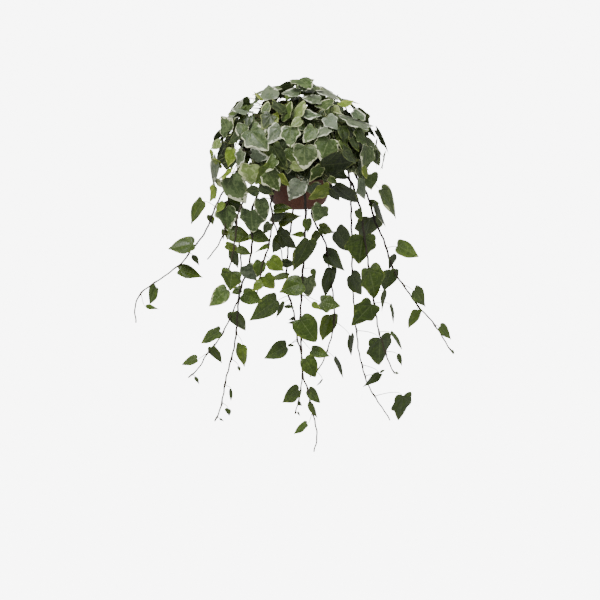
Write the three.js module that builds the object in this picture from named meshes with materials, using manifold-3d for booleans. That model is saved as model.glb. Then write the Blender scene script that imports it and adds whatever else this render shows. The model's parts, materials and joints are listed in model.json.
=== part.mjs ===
// Ivy in a hanging pot: a tapered round pot, its potting soil, long trailing vines that fall
// freely around it and the shoots of the bushy crown. Every vine or shoot is one grown piece:
// a woody stem rooted in its own hole in the soil, with leaf stalks and thin leaf blades.
// Millimetres, +Z up, the front of the plant faces -Y. The origin is on the pot's axis, in the
// plane of the flat underside of the rim, where a hanging ring would carry the pot.
import * as THREE from 'three';
import { mergeVertices } from 'three/addons/utils/BufferGeometryUtils.js';
import Module from 'manifold-3d';

const wasm = await Module();
wasm.setup();
const { Manifold, Mesh } = wasm;

// Pot
const RIM_RADIUS = 75;
const RIM_TOP = 5;
const RIM_UNDERSIDE = 0;
const WALL_TOP_RADIUS = 71;
const WALL_BOTTOM_RADIUS = 47;
const POT_BOTTOM = -70;
const WALL_THICKNESS = 2.2;
const FLOOR_THICKNESS = 3;
const BOTTOM_ROUNDING = 7;
const FOOT_RADIUS = 40;
const FOOT_WIDTH = 5;
const FOOT_RECESS = 2;
const FOOT_BEVEL = 0.6;
const FLOOR_CORNER = 4;
const RIM_BEVEL = 1;
const DRAIN_HOLES = 6;
const DRAIN_RADIUS = 4.5;
const DRAIN_CIRCLE = 24;
const DRAIN_SIDES = 10;
const CUT_PAST = 5;
const ROUND_SIDES = 28;

// Soil
const SOIL_TOP = 2;
const SOIL_CROWNING = 3;
const SEAT_GAP = 0.3;
const WALL_GAP = 0.42;

// Stems, stalks and blades
const VINE_ROOT_CIRCLE = 42;
const LOWER_ROOT_CIRCLE = 28;
const UPPER_ROOT_CIRCLE = 13;
const ROOT_DEPTH = 14;
const HOLE_SIDES = 6;
const COLLAR_RISE = 3;
const VINE_TIP_RADIUS = 0.8;
const SHOOT_RADIUS = 1.3;
const SHOOT_TIP_RADIUS = 0.9;
const STEM_SIDES = 4;
const STEM_STEP = 32;
const STALK_RADIUS = 0.65;
const STALK_SIDES = 3;
const BLADE_THICKNESS = 1;
const KEEP_APART = 0.35;
const WELD = 1e-3;
const NEARLY_UPRIGHT = 1e-6;
const NEARLY_PARALLEL = 1e-4;

// The pot is kept clear as one cone of sides, a little larger than it is.
const POT_BLOCK_SIDES = 16;
const POT_BLOCK_FOOT = 5;
const POT_MARGIN = 1;

// Where the eye stands: the traced places below are read in one view from slightly above,
// with the pot's axis and rim at the given places, and 1.75 mm to a step at the pot's axis.
const MM_PER_STEP = 1.75;
const VIEW_DISTANCE = 3000;
const VIEW_TILT = THREE.MathUtils.degToRad(20);
const VIEW_CENTRE = 300;
const AXIS_AT_X = 298.5;
const RIM_AT_Y = 165;

const RIGHT = new THREE.Vector3(1, 0, 0);
const AWAY = new THREE.Vector3(0, Math.cos(VIEW_TILT), -Math.sin(VIEW_TILT));
const UPRIGHT = new THREE.Vector3(0, Math.sin(VIEW_TILT), Math.cos(VIEW_TILT));
const TO_EYE = AWAY.clone().negate();
const AIM = RIGHT.clone().multiplyScalar((VIEW_CENTRE - AXIS_AT_X) * MM_PER_STEP)
  .addScaledVector(UPRIGHT, (RIM_AT_Y - VIEW_CENTRE) * MM_PER_STEP);
const EYE = AIM.clone().addScaledVector(AWAY, -VIEW_DISTANCE);

// The crown is a dome of leaves around this ellipsoid.
const DOME_CENTRE = new THREE.Vector3(0, 0, 8);
const DOME_RADII = new THREE.Vector3(155, 138, 148);
const UPPER_FROM = 78;
const LEAN_LIMIT = 0.7;

// Trailing vines. `depth` is how far the vine hangs behind (+) or before (-) the pot's axis, in
// mm, at its first and last place; `root` is the compass angle of its hole in the soil, in
// degrees from the front, positive to the right. Leaves: base, tip and width as they are seen.
const VINES = [
  {
    name: 'vine_far_left', root: -92, depth: [0, -20], radius: 1.2,
    route: [[218.5, 200], [213, 213], [205, 233], [200, 239], [189.5, 252], [180, 265],
      [170, 272], [156, 282], [141, 293], [136, 303], [134.4, 312], [136, 322.7]],
    leaves: [
      { base: [203, 201], tip: [189, 224], wide: 14 },
      { base: [210, 215], tip: [213, 225], wide: 8 },
      { base: [194, 244], tip: [168, 248.5], wide: 18 },
      { base: [193, 255], tip: [198.5, 266.5], wide: 6.5, form: 'sliver' },
      { base: [179, 270], tip: [203.5, 276], wide: 14 },
      { base: [155.5, 287], tip: [149, 305], wide: 12 },
      { base: [146, 306], tip: [160, 309], wide: 5, from: [141, 294], form: 'sliver' },
    ],
  },
  {
    name: 'vine_left_short', root: -66, depth: [-62, -70], radius: 1.1,
    route: [[226, 206], [226, 218], [224, 232], [221, 241], [216, 248], [207.5, 259.5]],
    leaves: [
      { base: [226, 207], tip: [229, 232], wide: 24, form: 'lobed' },
      { base: [227, 229], tip: [227, 241], wide: 7, form: 'sliver' },
      { base: [229, 233], tip: [252, 238], wide: 17 },
      { base: [227, 200], tip: [247, 213], wide: 16, form: 'lobed' },
      { base: [224, 203], tip: [216, 213], wide: 8 },
      { base: [223, 229], tip: [222.5, 241], wide: 4, form: 'sliver' },
    ],
  },
  {
    name: 'vine_left_middle', root: -112, depth: [45, 20], radius: 1.3,
    route: [[233, 196], [236, 225], [240, 248], [241, 268], [239, 287], [238, 300], [234, 309],
      [228.5, 321], [220.6, 337], [212, 348], [206, 355], [200, 366], [195, 373], [188.5, 378]],
    leaves: [
      { base: [226, 245], tip: [241, 250], wide: 9 },
      { base: [233, 250], tip: [236.5, 269], wide: 11.5 },
      { base: [234, 312], tip: [244.5, 332], wide: 16.5 },
      { base: [220, 331.5], tip: [200, 342], wide: 13 },
      { base: [212, 347], tip: [222, 363.5], wide: 11 },
      { base: [197, 359], tip: [181, 364], wide: 10, from: [207, 353] },
      { base: [195.5, 376.5], tip: [199, 385], wide: 4.5, form: 'sliver' },
    ],
  },
  {
    name: 'vine_left_long', root: -42, depth: [-88, -70], radius: 1.5,
    route: [[251, 214], [252, 232], [252, 244], [251, 252], [249.5, 264], [243, 282], [240, 290],
      [238.5, 300], [239, 308], [237.5, 316], [236.3, 332], [233, 352.7], [231, 360],
      [225.9, 379], [224, 390], [222, 402.4], [217, 418], [215, 421.5]],
    leaves: [
      { base: [251, 210.5], tip: [253.5, 233], wide: 26, form: 'lobed' },
      { base: [250, 233], tip: [271.5, 241], wide: 14 },
      { base: [246, 265.5], tip: [257, 282], wide: 17 },
      { base: [241, 289], tip: [231, 293], wide: 8.5 },
      { base: [243, 294], tip: [262.5, 302], wide: 17 },
      { base: [242, 344.5], tip: [242.5, 368], wide: 13, from: [236, 331] },
      { base: [238.5, 366], tip: [240, 372], wide: 3.5, from: [232, 359], form: 'sliver' },
      { base: [231, 389], tip: [230.5, 401.5], wide: 4.5, from: [225, 384], form: 'sliver' },
      { base: [228, 408], tip: [228.5, 416], wide: 7, from: [222, 402], form: 'sliver' },
      { base: [219.5, 418.5], tip: [224, 422], wide: 2.5, from: [217.5, 416], form: 'sliver' },
    ],
  },
  {
    name: 'vine_left_front', root: -54, depth: [-104, -100], radius: 1.2,
    route: [[238, 214], [236, 232], [232, 258], [228, 270], [229, 280], [230.5, 290]],
    leaves: [
      { base: [232, 271], tip: [229.5, 290], wide: 23, form: 'lobed' },
      { base: [227, 289.5], tip: [209, 307], wide: 18 },
      { base: [238, 249], tip: [251, 254], wide: 9 },
    ],
  },
  {
    name: 'vine_front_left', root: -17, depth: [-114, -108], radius: 1.3,
    route: [[271, 199], [271.5, 210], [273, 223], [270, 237], [267, 252], [263, 259], [262, 270],
      [259, 283], [257, 294]],
    leaves: [
      { base: [260.5, 199], tip: [265.5, 222], wide: 15 },
      { base: [261, 261], tip: [257, 278], wide: 13.5 },
      { base: [270, 259], tip: [284, 271], wide: 16 },
      { base: [264, 276], tip: [273.5, 290], wide: 17, form: 'lobed' },
      { base: [262, 282], tip: [252, 290.5], wide: 10 },
      { base: [270, 244], tip: [253, 252], wide: 5, form: 'sliver' },
      { base: [270, 223], tip: [263, 235], wide: 9 },
      { base: [274, 209], tip: [292, 207.5], wide: 10 },
    ],
  },
  {
    name: 'vine_back_left', root: -162, depth: [92, 96], radius: 1.1,
    route: [[277, 204], [274, 223], [278, 235], [281, 250], [283, 262]],
    leaves: [
      { base: [283, 213], tip: [269, 221], wide: 12 },
      { base: [279, 222], tip: [300.5, 213.5], wide: 15 },
      { base: [278, 234], tip: [297, 247], wide: 20, form: 'lobed' },
      { base: [280, 238], tip: [272, 253], wide: 13 },
      { base: [282, 264], tip: [297, 263], wide: 10 },
    ],
  },
  {
    name: 'vine_front_long', root: 4, depth: [-112, -100], radius: 1.5,
    route: [[305, 199], [305.6, 210], [306, 219], [305.6, 227], [303, 258.6], [304, 265],
      [302, 277], [301.5, 297], [300.3, 316], [301, 340], [301.5, 350], [302, 360.6],
      [303, 376], [306.9, 384], [309.5, 399.8], [314.7, 420.7], [317.3, 433.8], [316, 441],
      [313.9, 452]],
    leaves: [
      { base: [307, 219], tip: [308, 233], wide: 10 },
      { base: [305, 234], tip: [289, 234], wide: 6, form: 'sliver' },
      { base: [309, 240], tip: [294, 272], wide: 18 },
      { base: [312, 269], tip: [316, 278], wide: 6.5, form: 'sliver' },
      { base: [302, 283], tip: [279, 293], wide: 22 },
      { base: [307, 277], tip: [308, 298], wide: 18, form: 'lobed' },
      { base: [312, 303], tip: [321, 309.5], wide: 7, from: [301.5, 296], form: 'sliver' },
      { base: [320.5, 302], tip: [340.5, 307], wide: 18, from: [301.5, 295], form: 'lobed' },
      { base: [300, 319], tip: [316.5, 342], wide: 25 },
      { base: [311.5, 350], tip: [330, 356.5], wide: 12.5, from: [301, 338] },
      { base: [305, 358], tip: [316.5, 377.5], wide: 17.5 },
      { base: [308.5, 390], tip: [320.5, 403], wide: 11 },
      { base: [308.5, 402.5], tip: [318.5, 418], wide: 7, form: 'sliver' },
      { base: [307, 424], tip: [293, 434], wide: 7.5, from: [312.5, 413] },
      { base: [322, 206], tip: [315, 222], wide: 18, from: [305.6, 210], form: 'lobed' },
    ],
  },
  {
    name: 'vine_back_middle', root: -178, depth: [94, 84], radius: 1.4,
    route: [[293, 212], [289, 240], [287, 265], [287, 288], [290, 300], [293, 309], [295, 319],
      [297, 338], [300, 348], [302, 358], [302, 376], [300.5, 392], [299, 400], [297, 408],
      [295, 413.5]],
    leaves: [
      { base: [277, 300], tip: [249.5, 321], wide: 22, from: [289, 297] },
      { base: [284, 302], tip: [275.5, 318], wide: 6, form: 'sliver' },
      { base: [284.5, 306.5], tip: [294.5, 306.5], wide: 4.5, form: 'sliver' },
      { base: [295, 318], tip: [288, 319.5], wide: 4, form: 'sliver' },
      { base: [295, 322], tip: [287, 323], wide: 3.5, form: 'sliver' },
      { base: [286.5, 346.5], tip: [264, 359], wide: 18, from: [297, 338] },
      { base: [288, 345], tip: [295, 345.5], wide: 3.5, form: 'sliver' },
      { base: [299, 390], tip: [281.5, 402.5], wide: 15.5 },
      { base: [297.5, 402], tip: [302.5, 405.5], wide: 4.5, form: 'sliver' },
      { base: [297.5, 412], tip: [300.5, 416.5], wide: 2.5, form: 'sliver' },
      { base: [289, 274], tip: [262, 281], wide: 7, form: 'sliver' },
    ],
  },
  {
    name: 'vine_back_right', root: 146, depth: [70, 52], radius: 1.4,
    route: [[312, 204], [312, 216], [318, 229], [324.5, 236], [326, 249], [329, 268], [332, 285],
      [333, 297], [334.8, 311], [333, 329], [329, 346], [323, 359], [320, 367], [315, 371],
      [310, 377]],
    leaves: [
      { base: [319, 228], tip: [335, 231], wide: 13 },
      { base: [318, 231], tip: [311.5, 247.5], wide: 9 },
      { base: [336, 231], tip: [352, 251], wide: 22 },
      { base: [325, 253], tip: [346, 270], wide: 18 },
      { base: [330, 268.5], tip: [326, 297.5], wide: 15 },
      { base: [330, 315], tip: [323.5, 341], wide: 19.5 },
      { base: [350.5, 335], tip: [351.5, 356], wide: 8, from: [334.6, 320] },
      { base: [335, 357], tip: [345, 378.5], wide: 6, from: [327, 350], form: 'sliver' },
      { base: [322.5, 379], tip: [317, 386.5], wide: 2.5, from: [316, 371], form: 'sliver' },
    ],
  },
  {
    name: 'vine_right_back', root: 108, depth: [40, 30], radius: 1.4,
    route: [[350, 178], [351, 205], [351.5, 230], [352, 262], [352.6, 290], [354, 305],
      [355.2, 324], [357, 335], [359.2, 355], [361.5, 363], [365.7, 379], [369, 386],
      [374.8, 397], [386.6, 414], [390, 420]],
    leaves: [
      { base: [351, 275], tip: [362, 294.5], wide: 18 },
      { base: [380, 337.5], tip: [379, 365], wide: 29, from: [356, 328], form: 'lobed' },
      { base: [379, 373], tip: [363, 388], wide: 10, from: [361.5, 364] },
      { base: [380, 372.5], tip: [385, 369.5], wide: 3, form: 'sliver' },
      { base: [403, 395], tip: [398, 421], wide: 22, from: [374.8, 396.6], form: 'lobed' },
    ],
  },
  {
    name: 'vine_right_front', root: 52, depth: [-82, -60], radius: 1.4,
    route: [[352, 182], [355, 192], [359, 203], [361, 212], [364, 235], [366.5, 250],
      [368.5, 265], [371, 287], [374.8, 305.7], [378.8, 331.8], [384, 347.5], [386, 353],
      [389, 363], [391, 369], [394.4, 373.5]],
    leaves: [
      { base: [357, 210], tip: [362, 221.5], wide: 8 },
      { base: [363, 236], tip: [357, 264], wide: 31, form: 'lobed' },
      { base: [368.5, 268], tip: [375.5, 299], wide: 25, form: 'lobed' },
      { base: [384, 290], tip: [382.5, 312.5], wide: 6.5, form: 'sliver' },
      { base: [372, 304], tip: [350.5, 325.5], wide: 24, form: 'lobed' },
      { base: [391, 304], tip: [395, 324], wide: 4.5, from: [375.5, 306], form: 'sliver' },
      { base: [391, 331.5], tip: [404, 349], wide: 5.5, from: [380, 332], form: 'sliver' },
      { base: [398, 354], tip: [402.8, 366.5], wide: 6, from: [386, 352], form: 'sliver' },
      { base: [395, 372.5], tip: [399, 373.5], wide: 3, form: 'sliver' },
    ],
  },
  {
    name: 'vine_far_right', root: 84, depth: [-16, -10], radius: 1.4,
    route: [[370.5, 201], [372, 215], [376, 224], [379.5, 231], [383, 238], [386, 247],
      [388, 254], [390.5, 262], [393, 268], [399, 279], [403, 285], [412, 297], [417, 305],
      [423, 311], [437.6, 329], [445.4, 342], [453.2, 354]],
    leaves: [
      { base: [374, 204], tip: [386, 227], wide: 8 },
      { base: [370, 217], tip: [365, 240], wide: 28, form: 'lobed' },
      { base: [397, 246], tip: [419, 256], wide: 18 },
      { base: [394, 254], tip: [389, 271.5], wide: 8, form: 'sliver' },
      { base: [390.5, 270], tip: [385, 291], wide: 19 },
      { base: [414, 290], tip: [428, 305.5], wide: 16, from: [404, 285] },
      { base: [416.5, 310], tip: [408.8, 328.5], wide: 12 },
      { base: [440, 326.5], tip: [452.5, 339], wide: 11, from: [434, 323] },
      { base: [451.5, 350], tip: [454.5, 354], wide: 3, form: 'sliver' },
      { base: [369, 203], tip: [380, 203], wide: 8 },
    ],
  },
];

// Leaves of the crown's front, as seen, from the top downwards.
const CROWN_LEAVES = [
  { base: [300, 84], tip: [317, 87], wide: 12 },
  { base: [270, 99], tip: [269, 83.5], wide: 17.8, form: 'heart' },
  { base: [265, 101], tip: [253, 88.5], wide: 6, form: 'sliver' },
  { base: [257, 102], tip: [254.5, 93], wide: 4, form: 'sliver' },
  { base: [299, 93], tip: [281.5, 91], wide: 11 },
  { base: [320, 100], tip: [302, 98], wide: 11 },
  { base: [321, 108], tip: [334, 98], wide: 14 },
  { base: [333, 107], tip: [341, 114], wide: 8, form: 'heart' },
  { base: [341, 106], tip: [353, 100], wide: 9, form: 'heart' },
  { base: [359, 119], tip: [357, 107], wide: 14 },
  { base: [346, 121], tip: [375, 125.5], wide: 15 },
  { base: [248, 113], tip: [232, 108.5], wide: 8 },
  { base: [265, 112], tip: [268, 101], wide: 9, form: 'heart' },
  { base: [297, 117], tip: [301, 99], wide: 13 },
  { base: [287, 119], tip: [289, 100], wide: 10, form: 'heart' },
  { base: [301, 120], tip: [290, 127], wide: 9, form: 'heart' },
  { base: [302, 113], tip: [322, 116], wide: 11 },
  { base: [327, 117], tip: [337, 130], wide: 15 },
  { base: [334, 128], tip: [323, 125], wide: 8, form: 'heart' },
  { base: [328, 129], tip: [313, 137], wide: 10 },
  { base: [314, 128], tip: [303, 142], wide: 14 },
  { base: [290, 127], tip: [292, 147.5], wide: 20 },
  { base: [280, 127], tip: [268, 144], wide: 17 },
  { base: [250, 130], tip: [267, 151], wide: 27 },
  { base: [243, 124], tip: [240, 139.5], wide: 13.5, form: 'heart' },
  { base: [240, 133], tip: [229, 143.5], wide: 11 },
  { base: [249, 116], tip: [247, 127], wide: 9, form: 'heart' },
  { base: [271, 115], tip: [261, 129], wide: 16 },
  { base: [274, 122], tip: [277, 111], wide: 8, form: 'heart' },
  { base: [284, 113], tip: [272, 99], wide: 14 },
  { base: [220.5, 142], tip: [210, 148.5], wide: 9, form: 'heart' },
  { base: [232, 149], tip: [228, 167], wide: 12, form: 'heart' },
  { base: [243, 152], tip: [236, 168], wide: 12 },
  { base: [252, 153], tip: [268, 160], wide: 11 },
  { base: [273, 146], tip: [285, 171], wide: 17 },
  { base: [276, 159], tip: [263, 171], wide: 13 },
  { base: [250, 165], tip: [249, 186], wide: 22 },
  { base: [268, 171.5], tip: [278, 192], wide: 21 },
  { base: [258, 190.5], tip: [244.5, 191], wide: 11, form: 'heart' },
  { base: [260, 186], tip: [274, 194.5], wide: 10.5, form: 'heart' },
  { base: [230, 177], tip: [244.5, 204.5], wide: 25, form: 'heart' },
  { base: [231, 172], tip: [218, 179], wide: 8 },
  { base: [217, 161], tip: [209.5, 185], wide: 13 },
  { base: [221, 164], tip: [210, 160], wide: 7, form: 'heart' },
  { base: [216, 187], tip: [209.5, 202], wide: 11 },
  { base: [222, 184], tip: [213, 179], wide: 7, form: 'heart' },
  { base: [305, 146], tip: [303, 170], wide: 24 },
  { base: [289, 148], tip: [297, 165], wide: 13, form: 'heart' },
  { base: [292, 164], tip: [304, 171], wide: 9, form: 'heart' },
  { base: [329, 139], tip: [321, 161.5], wide: 25 },
  { base: [321, 165], tip: [360, 163], wide: 20, form: 'heart' },
  { base: [341, 150], tip: [335, 163], wide: 11, form: 'heart' },
  { base: [343, 151], tip: [358, 163], wide: 12 },
  { base: [341, 140], tip: [352, 159], wide: 9, form: 'heart' },
  { base: [342, 127], tip: [348, 147], wide: 11, form: 'heart' },
  { base: [352, 138], tip: [359, 152], wide: 10 },
  { base: [357, 130], tip: [367, 146], wide: 12 },
  { base: [366, 141], tip: [380, 147.5], wide: 10, form: 'heart' },
  { base: [367, 147], tip: [364, 172], wide: 14 },
  { base: [364, 166], tip: [367, 179], wide: 7, form: 'heart' },
  { base: [371, 174], tip: [372, 190.5], wide: 15, form: 'heart' },
  { base: [361, 178], tip: [364, 200], wide: 13 },
  { base: [381, 189], tip: [398.5, 218], wide: 16, form: 'heart' },
  { base: [334, 185], tip: [357, 203], wide: 13, form: 'heart' },
  { base: [330, 190], tip: [339.5, 202], wide: 8, form: 'heart' },
  { base: [329, 188], tip: [308, 199], wide: 13 },
  { base: [321, 167], tip: [309, 182], wide: 11 },
  { base: [329, 178], tip: [338, 184], wide: 7, form: 'heart' },
  { base: [300.8, 181], tip: [289.3, 202], wide: 19, form: 'heart' },
  { base: [280, 174], tip: [289, 188], wide: 7, form: 'heart' },
  { base: [333, 168], tip: [348, 178], wide: 12, form: 'heart' },
];

// Leaves the view hides or half hides, spread evenly by rule: rows round the crown's top and
// back, and rows inside its front, whose leaves show through the gaps. Angles from the front.
const HIDDEN_ROWS = [
  { height: 152, count: 4, middle: 45, span: 360, scale: 0.9 },
  { height: 132, count: 6, middle: 180, span: 230, scale: 0.88 },
  { height: 110, count: 7, middle: 180, span: 200, scale: 0.9 },
  { height: 86, count: 8, middle: 180, span: 200, scale: 0.88 },
  { height: 62, count: 8, middle: 180, span: 190, scale: 0.95 },
  { height: 38, count: 8, middle: 180, span: 190, scale: 0.9 },
  { height: 12, count: 8, middle: 180, span: 190, scale: 0.97 },
  { height: 96, count: 4, middle: 0, span: 150, scale: 0.76 },
  { height: 46, count: 5, middle: 0, span: 170, scale: 0.72 },
];
const HIDDEN_LEAF_LENGTH = 50;
const HIDDEN_LEAF_WIDTH = 46;
const HIDDEN_LEAF_SWING = 0.6;
const HIDDEN_LEAF_LIFT = 9;
const HIDDEN_LEAF_TURN = 0.5;
const HIDDEN_LEAF_SIZES = [1, 0.76, 0.9, 0.68, 0.96];

const UPPER_SHOOTS = 6;
const LOWER_SHOOTS = 10;

// A vine crosses the rim, then bends down over a shoulder to where it starts to hang.
const OVER_RIM = { out: RIM_RADIUS + 8, height: 17 };
const SHOULDER = { least: RIM_RADIUS + 14, reach: 0.82, fall: 0.4, rise: 2, lowest: -30 };

// A shoot rises and leans to the middle of its leaves: shares of how far out and how high that
// is, plus millimetres, at each of its points.
const UPPER_BEND = [
  { reach: 0, out: UPPER_ROOT_CIRCLE + 4, climb: 0, up: 32 },
  { reach: 0.5, out: 6, climb: 0.6, up: 8 },
  { reach: 0.72, out: 0, climb: 0.84, up: 0 },
];
const LOWER_BEND = [
  { reach: 0, out: LOWER_ROOT_CIRCLE + 16, climb: 0, up: 40 },
  { reach: 0.6, out: 0, climb: 0, up: 56 },
  { reach: 0.8, out: 0, climb: 0.5, up: 16 },
];

// Half outlines from the foot of the blade to its tip, in shares of its width and length. The
// tip and the first points of each side bound the whole blade.
const LEAF_FORMS = {
  sliver: { half: [[0.2, -0.01], [0.5, 0.35]], usualWidth: 0.6 },
  heart: { half: [[0.36, -0.04], [0.5, 0.38]], usualWidth: 0.75 },
  lobed: { half: [[0.36, -0.05], [0.5, 0.44], [0.26, 0.58]], usualWidth: 0.95 },
};
const BOUNDING_POINTS = 2;
const STALK_BITE = 0.06;
const WIDEST = 1.15;
const NARROWEST = 0.8;

// A blade turns from the line of sight part of the way to where it would face by itself.
const TURN_LIMIT = 0.85;
const TURN_SOFTENING = 0.6;
const VINE_LEAF_RISE = 0.6;

// Vine leaves stand off to and fro; each leaf takes the first shift and foot that are clear.
const STAND_OFFS = [7, -2.8];
const FOOT_SHARES = [0.1, 0.4, 0.7, 1];
const FEET_TRIED = 12;
const NUDGES = [0, 3, -3, 6, -6, 9, -9, 12, -12, 15, -15, 19, -19, 23, -23, 28, -28,
  34, 40, 48, 56, -34];

const MATERIALS = {
  pot: { color: 0x5c372d, roughness: 0.55 },
  soil: { color: 0x2b1f18, roughness: 1 },
  vine: { color: 0x4f6a2c, roughness: 0.6 },
  crown: { color: 0x5f7358, roughness: 0.6 },
};

// Places in the view and places in space.
function seenAt(x, y, depth) {
  const across = (x - VIEW_CENTRE) * MM_PER_STEP;
  const up = (VIEW_CENTRE - y) * MM_PER_STEP;
  const reach = (depth - AIM.y + AWAY.y * VIEW_DISTANCE) / (UPRIGHT.y * up + AWAY.y * VIEW_DISTANCE);
  return AIM.clone().addScaledVector(RIGHT, across * reach).addScaledVector(UPRIGHT, up * reach)
    .addScaledVector(AWAY, (reach - 1) * VIEW_DISTANCE);
}

function inView(point) {
  const offset = point.clone().sub(AIM);
  const shrink = VIEW_DISTANCE / (VIEW_DISTANCE + offset.dot(AWAY)) / MM_PER_STEP;
  return [VIEW_CENTRE + offset.dot(RIGHT) * shrink, VIEW_CENTRE - offset.dot(UPRIGHT) * shrink];
}

function onDome(x, y) {
  const way = RIGHT.clone().multiplyScalar((x - VIEW_CENTRE) * MM_PER_STEP)
    .addScaledVector(UPRIGHT, (VIEW_CENTRE - y) * MM_PER_STEP)
    .addScaledVector(AWAY, VIEW_DISTANCE);
  const start = EYE.clone().sub(DOME_CENTRE).divide(DOME_RADII);
  const run = way.clone().divide(DOME_RADII);
  const a = run.lengthSq();
  const b = start.dot(run);
  const inside = b * b - a * (start.lengthSq() - 1);
  const reach = (-b - Math.sqrt(Math.max(inside, 0))) / a;
  return EYE.clone().addScaledVector(way, reach);
}

// A leaf's tip is on the dome too, but it leans to or from the eye by no more than a share of the
// length that is seen.
function tipOnDome(base, x, y) {
  const tip = onDome(x, y);
  const run = tip.clone().sub(base);
  const lean = run.dot(AWAY);
  const most = LEAN_LIMIT * Math.sqrt(run.lengthSq() - lean * lean);
  const distance = tip.clone().sub(EYE).dot(AWAY);
  const share = 1 + (THREE.MathUtils.clamp(lean, -most, most) - lean) / distance;
  return tip.sub(EYE).multiplyScalar(share).add(EYE);
}

function domeNormal(point) {
  return point.clone().sub(DOME_CENTRE).divide(DOME_RADII).divide(DOME_RADII).normalize();
}

function around(angleDegrees, radius, height) {
  const angle = THREE.MathUtils.degToRad(angleDegrees);
  return new THREE.Vector3(radius * Math.sin(angle), -radius * Math.cos(angle), height);
}

function compass(point) {
  return THREE.MathUtils.radToDeg(Math.atan2(point.x, -point.y));
}

// Solids
function solidOf(geometry) {
  const bare = geometry.clone();
  bare.deleteAttribute('normal');
  bare.deleteAttribute('uv');
  const merged = mergeVertices(bare, WELD);
  const triVerts = [];
  for (let i = 0; i < merged.index.count; i += 3) {
    const corners = [0, 1, 2].map((k) => merged.index.getX(i + k));
    if (new Set(corners).size === 3) {
      triVerts.push(...corners);
    }
  }
  const vertProperties = new Float32Array(merged.getAttribute('position').array);
  return new Manifold(new Mesh({
    numProp: 3, vertProperties, triVerts: new Uint32Array(triVerts),
  }));
}

function meshOf(name, solid, finish) {
  const { vertProperties, triVerts } = solid.getMesh();
  const geometry = new THREE.BufferGeometry();
  geometry.setAttribute('position', new THREE.BufferAttribute(new Float32Array(vertProperties), 3));
  geometry.setIndex(new THREE.BufferAttribute(new Uint32Array(triVerts), 1));
  geometry.computeVertexNormals();
  const mesh = new THREE.Mesh(geometry, new THREE.MeshStandardMaterial(finish));
  mesh.name = name;
  return mesh;
}

function turned(profile, sides = ROUND_SIDES) {
  const points = profile.map(([radius, height]) => new THREE.Vector2(radius, height));
  const lathe = new THREE.LatheGeometry([...points, points[0].clone()], sides);
  lathe.rotateX(Math.PI / 2);
  return solidOf(lathe);
}

function upright(radius, bottom, top, x, y, sides) {
  const pin = new THREE.CylinderGeometry(radius, radius, top - bottom, sides);
  pin.rotateX(Math.PI / 2);
  pin.translate(x, y, (top + bottom) / 2);
  return solidOf(pin);
}

// A path straight from joint to joint, with a ring of the stem at every joint.
class JointedPath extends THREE.Curve {
  constructor(joints) {
    super();
    this.joints = joints;
  }

  getPoint(share, target = new THREE.Vector3()) {
    const at = share * (this.joints.length - 1);
    const first = Math.min(Math.floor(at), this.joints.length - 2);
    return target.lerpVectors(this.joints[first], this.joints[first + 1], at - first);
  }

  getPointAt(share, target) {
    return this.getPoint(share, target);
  }

  getTangentAt(share, target) {
    return this.getTangent(share, target);
  }
}

function rod(joints, radius, tipRadius, sides) {
  const ring = new THREE.Shape();
  for (let i = 0; i < sides; i += 1) {
    const angle = (2 * Math.PI * i) / sides;
    ring[i ? 'lineTo' : 'moveTo'](radius * Math.cos(angle), radius * Math.sin(angle));
  }
  const steps = joints.length - 1;
  const extrudePath = new JointedPath(joints);
  const tube = new THREE.ExtrudeGeometry(ring, { steps, extrudePath, bevelEnabled: false });
  const places = tube.getAttribute('position');
  const place = new THREE.Vector3();
  for (let i = 0; i < places.count; i += 1) {
    place.fromBufferAttribute(places, i);
    let nearest = 0;
    joints.forEach((joint, k) => {
      if (joint.distanceToSquared(place) < joints[nearest].distanceToSquared(place)) {
        nearest = k;
      }
    });
    const share = THREE.MathUtils.lerp(1, tipRadius / radius, nearest / steps);
    place.sub(joints[nearest]).multiplyScalar(share).add(joints[nearest]);
    places.setXYZ(i, place.x, place.y, place.z);
  }
  return solidOf(tube);
}

// Convex blocks, used to keep the parts of different plants clear of each other.
function block(corners, normals, edges, owner) {
  return { corners, normals, edges, owner, box: new THREE.Box3().setFromPoints(corners) };
}

function rodBlock(start, end, radius, owner) {
  const along = end.clone().sub(start).normalize();
  const side = new THREE.Vector3(along.y, -along.x, 0);
  if (side.lengthSq() < NEARLY_UPRIGHT) {
    side.set(1, 0, 0);
  }
  side.normalize();
  const other = along.clone().cross(side).normalize();
  const corners = [];
  for (const end3 of [start, end]) {
    for (const [i, j] of [[1, 1], [1, -1], [-1, -1], [-1, 1]]) {
      corners.push(end3.clone().addScaledVector(side, i * radius).addScaledVector(other, j * radius));
    }
  }
  return block(corners, [along, side, other], [along, side, other], owner);
}

function bladeBlock(blade, owner) {
  const right = LEAF_FORMS[blade.form].half.slice(0, BOUNDING_POINTS);
  const left = right.map(([u, v]) => [-u, v]).reverse();
  const rim = [...right, [0, 1], ...left].map((spot) => blade.place(spot, 0));
  const half = BLADE_THICKNESS / 2;
  const corners = rim.flatMap((p) => [
    p.clone().addScaledVector(blade.normal, half),
    p.clone().addScaledVector(blade.normal, -half),
  ]);
  const edges = rim.map((p, i) => rim[(i + 1) % rim.length].clone().sub(p).normalize());
  const normals = edges.map((edge) => edge.clone().cross(blade.normal).normalize());
  return block(corners, [blade.normal, ...normals], [blade.normal, ...edges], owner);
}

function span(corners, axis) {
  let low = Infinity;
  let high = -Infinity;
  for (const corner of corners) {
    const reach = corner.dot(axis);
    low = Math.min(low, reach);
    high = Math.max(high, reach);
  }
  return [low, high];
}

function apartAlong(a, b, axis) {
  const [lowA, highA] = span(a.corners, axis);
  const [lowB, highB] = span(b.corners, axis);
  return lowB - highA > KEEP_APART || lowA - highB > KEEP_APART;
}

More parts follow.
